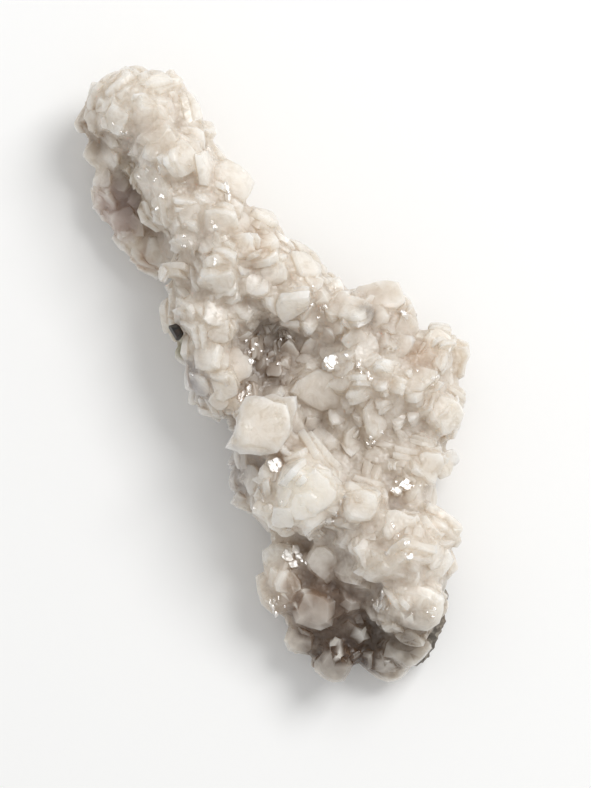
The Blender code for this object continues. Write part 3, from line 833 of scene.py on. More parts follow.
@dataclass
class Cluster:
    """The dolomite: its core, the crystals on it, the filling of their creases and the flashing faces.

    Args:
        shapes: the modelled crystals.
        box: the corners that the crystals stay between, in metres.
        inset: how far the core stays inside the lobes, in millimetres.
        core_voxel: the grain of the core, in millimetres.
        berth: the room kept around a crystal of PLATES, against its width.
        lowest: the height under which nothing grows, in millimetres.
        steepest: how far the ground of a small crystal may face down, as its normal's height.
        clump: the reach of one clump, in millimetres.
        wander: how far a crystal strays in its plane, against the habit's jitter.
        uneven: how much farther than others a crystal may stand out, as a share of its width.
        overhang: how much farther than its due a crystal's tip may stand out, in millimetres.
        rays: how many rays look for neighbours of a small crystal.
        ray_start: how far over the ground they start, in millimetres.
        ray_spread: how far they stray from the normal.
        ray_reach: how far they look, against the crystal's width.
        tumble: how far a small crystal strays from the normal.
        crease: the width of the widest crease that is filled, in millimetres.
        under: how far the filling stays under the crystals' faces, in millimetres.
        heal_voxel: the grain of the filling, in millimetres.
        blend: the square of the distance over which one habit gives way to the next, in square millimetres.
        cover: how much farther the filling reaches where the crystals are overgrown, in millimetres.
        cover_rounds: how often it is smoothed there.
        chips: the most chips that one flashing place breaks into.
        chip: the size of a chip against its place.
        scatter: how far chips lie apart, against their place.
        askew: how far a chip is turned in its plane, in degrees.
        stray: how far a flashing face turns from the mirror's direction, in degrees.
        proud: how far a flashing face stands out, in millimetres.
        sparks: the least and greatest width of a glittering face, in millimetres.
        slim: the greatest length of a glittering face over its width.
        slab: the size of the block that levels the base, in millimetres: wider than the cluster.
        triangles: how many triangles the cluster has in the end.
        crisp: the angle from which on an edge looks sharp, in degrees.
    """

    shapes: Shapes
    box: tuple[Vector, Vector]
    inset: float = 0.6
    core_voxel: float = 1.2
    berth: float = 1.5
    lowest: float = 1.8
    steepest: float = -0.35
    clump: float = 7.0
    wander: float = 1.5
    uneven: float = 0.16
    overhang: float = 0.6
    rays: int = 5
    ray_start: float = 0.05
    ray_spread: float = 0.6
    ray_reach: float = 0.8
    tumble: float = 0.45
    crease: float = 1.5
    under: float = 0.3
    heal_voxel: float = 0.5
    blend: float = 60.0
    cover: float = 0.45
    cover_rounds: int = 6
    chips: int = 7
    chip: float = 0.6
    scatter: float = 0.7
    askew: float = 12.0
    stray: float = 2.0
    proud: float = 0.5
    sparks: tuple[float, float] = (0.35, 0.75)
    slim: float = 1.7
    slab: tuple[float, float, float] = (100.0, 140.0, 6.0)
    triangles: int = 196000
    crisp: float = 32.0

    def core(self) -> bpy.types.Object:
        """Fuses and softens the lobes.

        Returns:
            The rounded body that the crystals grow on.
        """
        lobes = []
        for lobe in LOBES:
            bpy.ops.mesh.primitive_ico_sphere_add(
                subdivisions=4,
                radius=1.0,
                location=Vector(lobe.centre) * MM,
                rotation=(0, 0, math.radians(lobe.turn)),
                scale=(Vector(lobe.half) - Vector.Fill(3, self.inset)) * MM,
            )
            lobes.append(bpy.context.object)
        for lobe in lobes:
            lobe.select_set(True)
        bpy.ops.object.join()
        core = bpy.context.object
        bpy.ops.object.transform_apply()
        modify(core, "melt", "REMESH", mode="VOXEL", voxel_size=self.core_voxel * MM)
        modify(core, "soften", "SMOOTH", factor=0.5, iterations=8)
        roughen(core, "lumps", "VORONOI", 5.4, -2.4, 0.35)
        roughen(core, "rough", "CLOUDS", 2.4, 0.9)
        modify(core, "split", "TRIANGULATE")
        apply_modifiers(core)
        core.name = core.data.name = "dolomite_crystals"
        return core

    def placed_by_hand(self, ground: BVHTree) -> list[Crystal]:
        """Sets the crystals of PLATES on the core.

        Args:
            ground: the core's surface.

        Returns:
            The crystals.
        """
        crystals = []
        for n, plate in enumerate(PLATES):
            below = ground.ray_cast(Vector((*plate.at, OVERHEAD)) * MM, Vector((0, 0, -1)))[0]
            if below is None:
                below = ground.find_nearest(Vector((*plate.at, 10)) * MM)[0]
            height = below.z / MM + plate.rise - reach(plate.width, plate.thickness, plate.lean)
            turn = facing(leaning(plate.lean, plate.lean_to), plate.spin)
            frame = Matrix.Translation(Vector((*plate.at, height)) * MM) @ turn
            stretch = plate.thickness / plate.width / self.shapes.thickness[plate.form]
            options = self.shapes.index[plate.form]
            crystals.append(Crystal(frame, plate.width, stretch, options[n % len(options)]))
        return crystals

    def kept_in(self, crystal: Crystal) -> Crystal:
        """Moves a crystal back where it would cross the box.

        Args:
            crystal: the crystal.

        Returns:
            The same crystal.
        """
        shape = self.shapes.meshes[crystal.shape][0] * np.array([1.0, 1.0, crystal.stretch])
        turn = np.array(crystal.frame.to_3x3()) * crystal.width * MM
        points = shape @ turn.T + np.array(crystal.frame.translation)
        low, high = points.min(axis=0), points.max(axis=0)
        for axis in range(3):
            crystal.frame.translation[axis] += max(0.0, self.box[0][axis] - low[axis])
            crystal.frame.translation[axis] -= max(0.0, high[axis] - self.box[1][axis])
        return crystal

    def drawn_points(
        self, obj: bpy.types.Object, draw: np.random.Generator, tries: int
    ) -> tuple[np.ndarray, np.ndarray]:
        """Draws random points, evenly over the object's faces.

        Args:
            obj: the object.
            draw: what they are drawn with.
            tries: how many there are.

        Returns:
            The points, in millimetres, and the normals there.
        """
        mesh = obj.data
        mesh.calc_loop_triangles()
        corners = np.empty(len(mesh.loop_triangles) * 3, dtype=np.int32)
        mesh.loop_triangles.foreach_get("vertices", corners)
        points = np.empty(len(mesh.vertices) * 3)
        mesh.vertices.foreach_get("co", points)
        a, b, c = np.moveaxis(points.reshape(-1, 3)[corners.reshape(-1, 3)] / MM, 1, 0)
        across = np.cross(b - a, c - a)
        areas = np.linalg.norm(across, axis=1)
        chosen = draw.choice(len(areas), size=tries, p=areas / areas.sum())
        u, v = draw.random(tries), draw.random(tries)
        flip = u + v > 1
        u[flip], v[flip] = 1 - u[flip], 1 - v[flip]
        a, b, c = a[chosen], b[chosen], c[chosen]
        return a + u[:, None] * (b - a) + v[:, None] * (c - a), across[chosen] / areas[chosen, None]

    def grown(self, skin: bpy.types.Object, growth: Growth, around: list[Crystal]) -> list[Crystal]:
        """Returns crystals that grow on the skin, in clumps whose crystals nearly share a direction.

        Args:
            skin: what they grow on.
            growth: which generation they are.
            around: the crystals that they keep away from.

        Returns:
            The crystals.
        """
        draw = np.random.default_rng([SEED, growth.tries])
        points, normals = self.drawn_points(skin, draw, growth.tries)
        surface = surface_of(skin)
        centres = np.array([habit.centre for habit in HABITS])
        spots = list(CLEAR)
        for crystal in around:
            spots.append((*(crystal.frame.translation / MM), crystal.width * self.berth))
        places = np.array([spot[:3] for spot in spots])
        widths = np.array([spot[3] for spot in spots])
        clump_at: list[np.ndarray] = []
        clump_turn: list[tuple[float, float, float]] = []
        crystals = []
        for point, normal in zip(points, normals):
            if point[2] < self.lowest or (growth.walls and normal[2] < self.steepest):
                continue
            habit = HABITS[int(np.argmin(np.linalg.norm(centres - point, axis=1)))]
            if growth is SMALL and draw.random() > habit.chips:
                continue
            if growth is GROUND and draw.random() < habit.overgrown:
                continue
            width = draw.uniform(*growth.sizes) * habit.size
            away = np.linalg.norm(places - point, axis=1)
            if (away < habit.spacing * growth.room * (widths + width)).any():
                continue
            out = Vector(normal)
            start = (Vector(point) + out * self.ray_start) * MM
            walls = 0
            for _ in range(self.rays if growth.walls else 0):
                way = (out + Vector(draw.normal(0, self.ray_spread, 3))).normalized()
                walls += surface.ray_cast(start, way, width * self.ray_reach * MM)[0] is not None
            if walls < growth.walls:
                continue
            near = [i for i, at in enumerate(clump_at) if np.linalg.norm(at - point) < self.clump]
            if near:
                lean, lean_to, spin = clump_turn[min(near, key=lambda i: np.linalg.norm(clump_at[i] - point))]
            else:
                lean, lean_to, spin = draw.uniform(*habit.leans), draw.uniform(0, 360), draw.uniform(0, 360)
                clump_at.append(point)
                clump_turn.append((lean, lean_to, spin))
            lean = abs(lean + draw.normal(0, habit.jitter))
            lean_to += draw.normal(0, habit.jitter * self.wander)
            spin += draw.normal(0, habit.jitter * self.wander)
            form = habit.forms[draw.integers(len(habit.forms))]
            stretch = draw.uniform(0.8, 1.2)
            thickness = width * self.shapes.thickness[form] * stretch
            if not growth.walls:
                face_out = facing(out, 0).to_3x3() @ leaning(lean, lean_to)
            else:
                face_out = (out + Vector(draw.normal(0, self.tumble, 3))).normalized()
            stand_out = (habit.stand_out + draw.uniform(0, self.uneven)) * width
            rise = stand_out - reach(width, thickness, lean) * growth.sunk
            frame = Matrix.Translation((Vector(point) + out * rise) * MM) @ facing(face_out, spin)
            options = self.shapes.index[form]
            crystal = Crystal(frame, width, stretch, options[draw.integers(len(options))])
            if crystal.overhang(surface) > (habit.stand_out + self.uneven) * width + self.overhang:
                continue
            crystals.append(crystal)
            places = np.vstack([places, point])
            widths = np.append(widths, width)
        return crystals

    def heal(self, skin: bpy.types.Object) -> None:
        """Fills the narrow creases, as crystals that grow together do, and keeps the edges.

        Args:
            skin: what is filled.
        """
        fill = skin.copy()
        fill.data = skin.data.copy()
        bpy.context.scene.collection.objects.link(fill)
        for step in (self.crease / 2, -self.crease / 2 - self.under):
            modify(fill, "melt", "REMESH", mode="VOXEL", voxel_size=self.heal_voxel * MM)
            modify(fill, "swell", "DISPLACE", mid_level=0.0, strength=step * MM)
        modify(fill, "melt", "REMESH", mode="VOXEL", voxel_size=self.heal_voxel * MM)
        apply_modifiers(fill)
        points = np.array([vertex.co[:] for vertex in fill.data.vertices]) / MM
        away = np.array([((points - habit.centre) ** 2).sum(axis=1) for habit in HABITS])
        shares = np.exp(-away / self.blend)
        cover = np.array([habit.overgrown for habit in HABITS]) @ shares / shares.sum(axis=0)
        group = fill.vertex_groups.new(name="cover")
        for tenth in range(11):
            group.add(np.flatnonzero(np.round(cover * 10) == tenth).tolist(), tenth / 10, "REPLACE")
        roughen(fill, "druse", "VORONOI", 1.5, -0.7, 0.35)
        swell = {"mid_level": 0.0, "strength": self.cover * MM}
        modify(fill, "cover", "DISPLACE", **swell, vertex_group=group.name)
        modify(fill, "soften", "SMOOTH", factor=0.3)
        soften = {"factor": 0.5, "iterations": self.cover_rounds}
        modify(fill, "soften more", "SMOOTH", **soften, vertex_group=group.name)
        modify(fill, "split", "TRIANGULATE")
        apply_modifiers(fill)
        fuse(skin, [fill])

    def flashing(self, skin: bpy.types.Object) -> list[Crystal]:
        """Sets the cleavage faces that mirror the light into the eye.

        Args:
            skin: what they are set on.

        Returns:
            The crystals that have them.
        """
        draw = random.Random(SEED)
        surface = surface_of(skin)
        options = self.shapes.index[Form.GRAIN]
        towards = (Vector(KEY_FROM).normalized() + Vector((0, 0, 1))).normalized()
        flashes = []
        for flash in FLASHES:
            width, length = flash.size
            chips = min(self.chips, max(1, round(width * length)))
            share = 1.0 if chips == 1 else self.chip
            size = (width * share, length * share)
            turn = Matrix.Rotation(math.radians(flash.spin), 2)
            for _ in range(chips):
                off = Vector((draw.uniform(-0.5, 0.5) * width, draw.uniform(-0.5, 0.5) * length))
                at = Vector(flash.at) + turn @ (off * self.scatter)
                flashes.append(Flash(tuple(at), size, flash.spin + draw.gauss(0, self.askew)))
        for x, y, reaching, count in SPARKS:
            for _ in range(count):
                at = (x + draw.gauss(0, reaching / 2), y + draw.gauss(0, reaching / 2))
                width = draw.uniform(*self.sparks)
                flashes.append(Flash(at, (width, width * draw.uniform(1, self.slim)), draw.uniform(0, 180)))
        faces = []
        for n, flash in enumerate(flashes):
            hit = surface.ray_cast(Vector((*flash.at, OVERHEAD)) * MM, Vector((0, 0, -1)))[0]
            if hit is None:
                continue
            stray = Vector([draw.gauss(0, math.radians(self.stray)) for _ in range(3)])
            normal = (towards + stray).normalized()
            width, length = flash.size
            thickness = width * self.shapes.thickness[Form.GRAIN]
            centre = hit - normal * (thickness / 2 - min(self.proud, width / 4)) * MM
            narrower = Matrix.Diagonal((1.0, width / length, width / length, 1.0))
            frame = Matrix.Translation(centre) @ facing(normal, flash.spin + 90) @ narrower
            faces.append(Crystal(frame, length, 1.0, options[n % len(options)], True))
        return faces

    def join(self, skin: bpy.types.Object, name: str, crystals: list[Crystal]) -> None:
        """Fuses crystals with the skin, in batches that are each one clean mesh.

        Args:
            skin: what they are fused with.
            name: which crystals they are.
            crystals: the crystals.
        """
        groups = batches([self.kept_in(crystal) for crystal in crystals])
        fuse(skin, [self.shapes.copies(f"{name}_{n}", group) for n, group in enumerate(groups)])
        LOG.info("dolomite %s: %d crystals, %d faces", name, len(crystals), len(skin.data.polygons))

    def set_down(self, skin: bpy.types.Object) -> None:
        """Cuts off what reaches under the box, so that the specimen lies level.

        Args:
            skin: what is cut.
        """
        length, width, height = (side * MM for side in self.slab)
        at = (0, 0, self.box[0][2] - height / 2)
        bpy.ops.mesh.primitive_cube_add(size=1.0, location=at, scale=(length, width, height))
        fuse(skin, [bpy.context.object], "DIFFERENCE")

    def clear_crumbs(self, skin: bpy.types.Object) -> None:
        """Deletes what doesn't hang together with the highest crystal, and edges without faces.

        Args:
            skin: what is cleared.
        """
        top = max(vertex.co.z for vertex in skin.data.vertices)
        with editing(skin):
            pick(skin, "VERT", lambda point: point.z >= top)
            bpy.ops.mesh.select_linked()
            bpy.ops.mesh.select_all(action="INVERT")
            bpy.ops.mesh.delete(type="VERT")
            bpy.ops.mesh.select_all(action="SELECT")
            bpy.ops.mesh.delete_loose()

    def build(self) -> bpy.types.Object:
        """Grows the whole cluster as one closed skin.

        Returns:
            The object.
        """
        skin = self.core()
        by_hand = self.placed_by_hand(surface_of(skin))
        ground = self.grown(skin, GROUND, [])
        large = self.grown(skin, LARGE, by_hand)
        self.join(skin, "ground", ground)
        self.join(skin, "large", large + by_hand)
        self.join(skin, "small", self.grown(skin, SMALL, by_hand))
        self.heal(skin)
        self.join(skin, "flashing", self.flashing(skin))
        self.set_down(skin)
        skin.data.calc_loop_triangles()
        modify(skin, "thin", "DECIMATE", ratio=min(1.0, self.triangles / len(skin.data.loop_triangles)))
        apply_modifiers(skin)
        self.clear_crumbs(skin)
        LOG.info("dolomite: %d triangles", len(skin.data.polygons))
        select_only(skin)
        bpy.ops.object.shade_smooth_by_angle(angle=math.radians(self.crisp))
        return skin


def linear(colour: str) -> tuple[float, float, float, float]:
    """Returns an sRGB hex colour as the linear colour that the shaders take."""
    parts = (int(colour[i : i + 2], 16) / 255 for i in (1, 3, 5))
    return (*(c / 12.92 if c <= 0.04045 else ((c + 0.055) / 1.055) ** 2.4 for c in parts), 1.0)


Socket = bpy.types.NodeSocket
Outputs = bpy.types.NodeOutputs
AddNode = Callable[..., Outputs]


def add(
    tree: bpy.types.NodeTree, kind: str, inputs: dict[str | int, object] | None = None, **settings: object
) -> Outputs:
    """Adds one node.

    Args:
        tree: the node tree.
        kind: the node's type, without the ShaderNode that all of them begin with.
        inputs: its inputs by name or number: a value, or a socket to link from.
        settings: its properties by name.

    Returns:
        The node's outputs.
    """
    node = tree.nodes.new("ShaderNode" + kind)
    for name, value in settings.items():
        setattr(node, name, value)
    for name, value in (inputs or {}).items():
        if isinstance(value, Socket):
            tree.links.new(value, node.inputs[name])
        else:
            node.inputs[name].default_value = value
    return node.outputs


def new_material(name: str) -> tuple[bpy.types.Material, AddNode, Socket]:
    """Makes a material that has no shader yet.

    Args:
        name: its name.

    Returns:
        The material, what adds a node to it, and the socket of the place on the object, in metres.
    """
    material = bpy.data.materials.new(name)
    material.use_nodes = True
    material.node_tree.nodes.clear()
    node = partial(add, material.node_tree)
    return material, node, node("TexCoord")["Object"]


@dataclass(frozen=True)
class StainOrPaintedShade:
    """A patch of other colour on the dolomite: some are real stains, the others painted shade.

    Args:
        name: the stain, or the place of the painted shade.
        at: its middle, in millimetres.
        radius: its radius, in millimetres.
        colour: its colour, as sRGB hex.
        strength: how much of the colour shows at its middle.
    """

    name: str
    at: tuple[float, float, float]
    radius: float
    colour: str
    strength: float


# Real stains, and patches of painted shade where the dolomite lies in shadow.
STAINS_AND_PAINTED_SHADE = (
    StainOrPaintedShade("iron stain by the arm foot", (-3.6, 20.0, 19.0), 4.6, "#b59a7c", 0.65),
    StainOrPaintedShade("iron stain at the fan's edge", (23.2, 2.8, 14.0), 3.8, "#b39373", 0.6),
    StainOrPaintedShade("olive film", (-15.4, 4.2, 10.8), 3.4, "#6f693c", 0.9),
    StainOrPaintedShade("shaded fan top", (16.6, 10.0, 11.5), 9.0, "#c3b5a6", 0.75),
    StainOrPaintedShade("clean brow", (4.6, -18.6, 22.0), 8.5, "#f4efe5", 0.6),
    # Darker brown at the foot of the ledge.
    StainOrPaintedShade("rust at the ledge's foot", (-20.4, 18.6, 5.0), 3.4, "#8f6444", 0.8),
    # Painted shade on the left tip, which faces away from the key light.
    StainOrPaintedShade("brown tip", (-28.4, 38.6, 11.0), 6.0, "#917c65", 0.8),
    StainOrPaintedShade("shaded side of the arm", (-21.6, 29.4, 11.5), 7.0, "#86704f", 0.9),
    StainOrPaintedShade("grey hole", (15.0, 9.6, 16.5), 2.4, "#8d867f", 0.7),
    # Mauve-grey of the low ledge: partly its own tone, partly painted shade behind the arm.
    StainOrPaintedShade("mauve ledge", (-25.0, 26.5, 8.0), 7.5, "#b09d96", 0.75),
    StainOrPaintedShade("grey lumps", (-12.0, -0.6, 12.0), 6.0, "#a9a6a8", 0.85),
    StainOrPaintedShade("grey flank", (-5.5, -14.0, 7.0), 10.0, "#aaa4a2", 0.75),
    # Painted shade under the brow: the recess, the foot below it and the lower right, darker and browner
    # towards the bottom.
    StainOrPaintedShade("recess", (8.4, -36.6, 10.0), 11.5, "#765b45", 0.9),
    StainOrPaintedShade("recess below", (12.0, -45.0, 8.0), 12.5, "#53402f", 1.0),
    StainOrPaintedShade("lower right", (23.4, -41.6, 12.5), 9.5, "#776754", 0.9),
    # Painted shade in the valley between the arm's foot and the fan.
    StainOrPaintedShade("valley", (-1.0, 2.6, 12.0), 8.0, "#97877a", 0.7),
)

# Painted shade in the deep creases alone, where little of the sky is seen, warm brown at these places.
PAINTED_DEEP_SHADE = (
    StainOrPaintedShade("recess", (8.4, -36.6, 10.0), 12.0, "#5c442f", 0.95),
    StainOrPaintedShade("recess below", (13.0, -44.0, 8.0), 10.0, "#5c442f", 0.95),
    StainOrPaintedShade("valley", (-1.0, 2.6, 12.0), 9.5, "#6d563f", 0.9),
    StainOrPaintedShade("below the wide plate", (4.8, -7.6, 12.0), 6.5, "#7a6858", 0.8),
    StainOrPaintedShade("below the fan", (14.6, -12.6, 13.0), 9.0, "#857260", 0.7),
    StainOrPaintedShade("waist", (-3.0, 11.0, 14.0), 8.0, "#857260", 0.6),
    StainOrPaintedShade("arm", (-14.0, 28.0, 16.0), 16.0, "#8f7d62", 0.45),
    StainOrPaintedShade("brow", (8.0, -24.0, 16.0), 12.0, "#94826f", 0.35),
)


@dataclass(frozen=True)
class SaddleDolomite:
    """Milky saddle dolomite: a carbonate whose curved cleavage rhombs scatter light deep under a pearly face.

    Args:
        white: the milky heart of a crystal, as sRGB hex.
        warm: the cream of its other growths.
        veil: the grey of its clear outer growth.
        painted_hollow_shade: the painted shade in the creases and hollows between the lobes, warm brown.
        edge: the white of the painted highlight on thin, convex edges.
        ior: dolomite's, for its ordinary ray.
        scatter: how far light goes in it, in millimetres.
        tints: how far red, green and blue go of that.
        cloud: the size of its milky clouds, in millimetres.
        wisp: the size of the wisps within a crystal, in millimetres.
        fringe: the size of the ragged fringe of a stain, in millimetres.
        shade: how far away a wall still shades a crease, for the painted shade, in millimetres.
        grain: the size of the unevenness of its faces, in millimetres.
        pit: the size of the pits in its faces, in millimetres.
        relief: the height of both, in millimetres.
        lamella: the thickness of its growth layers, in millimetres.
        block: the size of the blocks that make up a face, in millimetres.
        speck: the size of the grains of the druse, in millimetres.
        mirror: the roughness of a fresh cleavage face.
    """

    white: str = "#ebe5dc"
    warm: str = "#ddd3c7"
    veil: str = "#b9a994"
    # Painted shade for the creases and hollows, brought in by ambient occlusion.
    painted_hollow_shade: str = "#957555"
    # The painted highlight on thin, convex edges.
    edge: str = "#f7f4ed"
    ior: float = 1.68
    scatter: float = 7.0
    tints: tuple[float, float, float] = (1.0, 0.96, 0.9)
    cloud: float = 9.0
    wisp: float = 2.2
    fringe: float = 2.2
    shade: float = 7.0
    grain: float = 0.6
    pit: float = 1.1
    relief: float = 0.14
    lamella: float = 0.4
    block: float = 1.8
    speck: float = 0.5
    mirror: float = 0.12

    def stained_and_shaded(self, node: AddNode, place: Socket, ragged: Socket) -> list[tuple[Socket, str]]:
        """Makes the masks of the stains and painted shade, and of the painted shade in the creases and
        hollows between the lobes.

        Args:
            node: adds a node to the material.
            place: the place on the cluster, in metres.
            ragged: the noise that frays the edge of a stain or of a painted shade.

        Returns:
            How much of each stain and painted shade shows, and its colour, in the order in which they lie
            over each other.
        """
        smooth = {"interpolation_type": "SMOOTHSTEP"}
        masks = {}
        for stain in STAINS_AND_PAINTED_SHADE + PAINTED_DEEP_SHADE:
            away = {0: place, 1: tuple(Vector(stain.at) * MM)}
            away = node("VectorMath", away, operation="DISTANCE")["Value"]
            away = {0: ragged, 1: -0.6 * stain.radius * MM, 2: away}
            away = node("Math", away, operation="MULTIPLY_ADD")[0]
            fade = {"From Min": -0.1 * stain.radius * MM, "From Max": 0.75 * stain.radius * MM}
            fade |= {"Value": away, "To Min": stain.strength, "To Max": 0.0}
            masks[stain] = node("MapRange", fade, **smooth)["Result"]
        # Painted shade: the creases darken towards a warm brown, and the deepest ones take the deep-shade
        # colours, by how little of the sky they see.
        sky = node("AmbientOcclusion", {"Distance": self.shade * MM}, samples=6)["AO"]
        painted_crease_mask = {"Value": sky, "From Max": 0.75, "To Min": 0.42, "To Max": 0.0}
        painted_crease_mask = node("MapRange", painted_crease_mask, **smooth)["Result"]
        painted_deep_crease_mask = {"Value": sky, "From Min": 0.10, "From Max": 0.55, "To Min": 1.0, "To Max": 0.0}
        painted_deep_crease_mask = node("MapRange", painted_deep_crease_mask, **smooth)["Result"]
        for stain in PAINTED_DEEP_SHADE:
            masks[stain] = node("Math", {0: masks[stain], 1: painted_deep_crease_mask}, operation="MULTIPLY")[0]
        layers = [(masks[stain], stain.colour) for stain in STAINS_AND_PAINTED_SHADE]
        layers += [(painted_crease_mask, self.painted_hollow_shade)]
        return layers + [(masks[stain], stain.colour) for stain in PAINTED_DEEP_SHADE]

    def faceted(self, node: AddNode, place: Socket, height: Socket, druse: Socket) -> Socket:
        """Breaks up the crystals' faces.

        Args:
            node: adds a node to the material.
            place: the place on the cluster, in metres.
            height: the height within a crystal, in millimetres.
            druse: where the surface is druse, from nought to one.

        Returns:
            The normal.
        """
        # Each face is a mosaic of small blocks that lie nearly level with each other. The druse between the
        # crystals is made of grains that don't.
        normal = node("NewGeometry")["Normal"]
        for size, tilt, share in ((self.block, 0.14, 1.0), (self.speck, 0.6, druse)):
            cell = node("TexVoronoi", {"Vector": place, "Scale": 1 / (size * MM)})["Color"]
            cell = node("VectorMath", {0: cell, 1: (0.5, 0.5, 0.5)}, operation="SUBTRACT")[0]
            for scale in (tilt, share):
                cell = node("VectorMath", {0: cell, "Scale": scale}, operation="SCALE")[0]
            normal = node("VectorMath", {0: normal, 1: cell})[0]
        normal = node("VectorMath", {0: normal}, operation="NORMALIZE")[0]

        # Growth layers show as fine steps on the sides, under a slight overall unevenness and small pits.
        layer = node("TexNoise", {"W": height, "Scale": 1 / self.lamella}, noise_dimensions="1D")["Fac"]
        uneven = node("TexNoise", {"Vector": place, "Scale": 1 / (self.grain * MM), "Detail": 3.0})["Fac"]
        pit = node("TexVoronoi", {"Vector": place, "Scale": 1 / (self.pit * MM)})["Distance"]
        relief = node("Math", {0: layer, 1: 0.8, 2: uneven}, operation="MULTIPLY_ADD")[0]
        relief = node("Math", {0: pit, 1: -0.6, 2: relief}, operation="MULTIPLY_ADD")[0]
        bump = {"Strength": 0.6, "Distance": self.relief * MM, "Height": relief, "Normal": normal}
        return node("Bump", bump)["Normal"]

    def material(self) -> bpy.types.Material:
        """Makes the crystals' material.

        Returns:
            The material.
        """
        material, node, place = new_material("saddle_dolomite")
        growth, face = (
            node("SeparateXYZ", {"Vector": node("UVMap", uv_map=name)["UV"]}) for name in ("Growth", "Face")
        )

        # Milkiness comes in clouds a few crystals wide, and each crystal has its own.
        cloud = {"Vector": place, "Scale": 1 / (self.cloud * MM), "Detail": 3.0, "Roughness": 0.6}
        cloud = node("TexNoise", cloud)["Fac"]
        own = node("TexWhiteNoise", {"W": growth["Y"]}, noise_dimensions="1D")["Value"]
        cream = node("Math", {0: own, 1: 0.45, 2: -0.22}, operation="MULTIPLY_ADD")[0]
        cream = node("Math", {0: cream, 1: cloud})[0]
        cream = node("MapRange", {"Value": cream, "From Min": 0.3, "From Max": 0.75})["Result"]

        # Grey wisps run through the crystals.
        wisp = {"Vector": place, "Scale": 1 / (self.wisp * MM), "Detail": 5.0, "Roughness": 0.65}
        wisp = node("TexNoise", {**wisp, "Distortion": 1.2})["Fac"]
        wisp = {"Value": wisp, "From Min": 0.42, "From Max": 0.72, "To Max": 0.55}
        wisp = node("MapRange", wisp)["Result"]

        # The outer growth towards a crystal's rim is clearer and looks grey, and so does what fills the gaps.
        clear = {"Value": face["X"], "From Min": 0.45, "To Max": 0.3}
        clear = node("MapRange", clear, interpolation_type="SMOOTHSTEP")["Result"]
        between = node("Math", {0: growth["Y"], 1: 0.002}, operation="LESS_THAN")[0]
        clear = node("Math", {0: between, 1: 0.16, 2: clear}, operation="MULTIPLY_ADD")[0]

        # Thin, convex edges get a painted white highlight, found by pointiness.
        edge = {"Value": node("NewGeometry")["Pointiness"], "From Min": 0.53, "From Max": 0.64, "To Max": 0.6}
        edge = node("MapRange", edge)["Result"]

        ragged = node("TexNoise", {"Vector": place, "Scale": 1 / (self.fringe * MM)})["Fac"]
        layers = [(cream, self.warm), (wisp, self.veil), (clear, self.veil)]
        layers += self.stained_and_shaded(node, place, ragged)
        layers += [(edge, self.edge)]
        colour = linear(self.white)
        for share, tint in layers:
            colour = node("Mix", {"Factor": share, 6: colour, 7: linear(tint)}, data_type="RGBA")[2]

        druse = node("MapRange", {"Value": ragged, "From Min": 0.55, "From Max": 0.6})["Result"]
        druse = node("Math", {0: druse, 1: between}, operation="MAXIMUM")[0]
        normal = self.faceted(node, place, growth["X"], druse)

        # Each crystal's faces have a sheen of their own, and the cleavage faces are mirrors.
        rough = node("MapRange", {"Value": own, "To Min": 0.18, "To Max": 0.45})["Result"]
        rough = node("Mix", {"Factor": face["Y"], 2: rough, 3: self.mirror})[0]
        gloss = node("MapRange", {"Value": face["Y"], "To Min": 0.35, "To Max": 0.8})["Result"]
        look = {"Base Color": colour, "Roughness": rough, "IOR": self.ior, "Specular IOR Level": gloss}
        look |= {"Subsurface Weight": 1.0, "Subsurface Radius": self.tints, "Normal": normal}
        look |= {"Subsurface Scale": self.scatter * MM}
        shader = node("BsdfPrincipled", look, subsurface_method="RANDOM_WALK")
        node("OutputMaterial", {"Surface": shader["BSDF"]})
        return material


@dataclass
class HostRock:
    """The remnant of the vein's grey wall rock under the lower half.

    Args:
        grain: the size of its grains, in millimetres.
        voxel: the fineness of its surface, in millimetres.
        foot: how much of its roughness is left on the face that it lies on.
        step: the height over which its full roughness comes in, in millimetres.
        lump: the half sizes of a lump at its edge, in millimetres.
        edge: the middles of the lumps that show beside the lower right edge, in millimetres.
    """

    grain: float = 1.1
    voxel: float = 0.42
    foot: float = 0.22
    step: float = 1.2
    lump: tuple[float, float, float] = (2.6, 2.9, 2.8)
    edge: tuple[tuple[float, float, float], ...] = (
        (24.8, -32.8, 4.6),
        (25.5, -36.4, 5.0),
        (25.1, -39.2, 5.0),
        (23.6, -41.8, 4.8),
        (22.6, -43.9, 4.4),
    )

    def build(self) -> bpy.types.Object:
        """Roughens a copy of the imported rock.

        Returns:
            The rock.
        """
        edge = []
        for at in self.edge:
            bpy.ops.mesh.primitive_ico_sphere_add(
                subdivisions=3, radius=1.0, location=Vector(at) * MM, scale=Vector(self.lump) * MM
            )
            edge.append(bpy.context.object)
        solid = bpy.data.objects["host_rock"]
        rock = solid.copy()
        rock.data = solid.data.copy()
        rock.name = rock.data.name = "rock_surface"
        rock.parent = None
        bpy.context.scene.collection.objects.link(rock)
        rock.data.materials.clear()
        select_only(rock)
        for lump in edge:
            lump.select_set(True)
        bpy.ops.object.join()
        with editing(rock):
            bpy.ops.mesh.remove_doubles(threshold=0.01 * MM)
        modify(rock, "melt", "REMESH", mode="VOXEL", voxel_size=self.voxel * MM)
        apply_modifiers(rock)
        above = rock.vertex_groups.new(name="above")
        for vertex in rock.data.vertices:
            share = min(1.0, max(self.foot, vertex.co.z / (self.step * MM)))
            above.add([vertex.index], share, "REPLACE")
        roughen(rock, "break", "CLOUDS", 5.0, 1.4, group=above.name)
        roughen(rock, "grains", "VORONOI", self.grain, 0.9, group=above.name)
        apply_modifiers(rock)
        bpy.ops.object.shade_smooth_by_angle(angle=math.radians(40))
        LOG.info("host rock: %d faces", len(rock.data.polygons))
        return rock


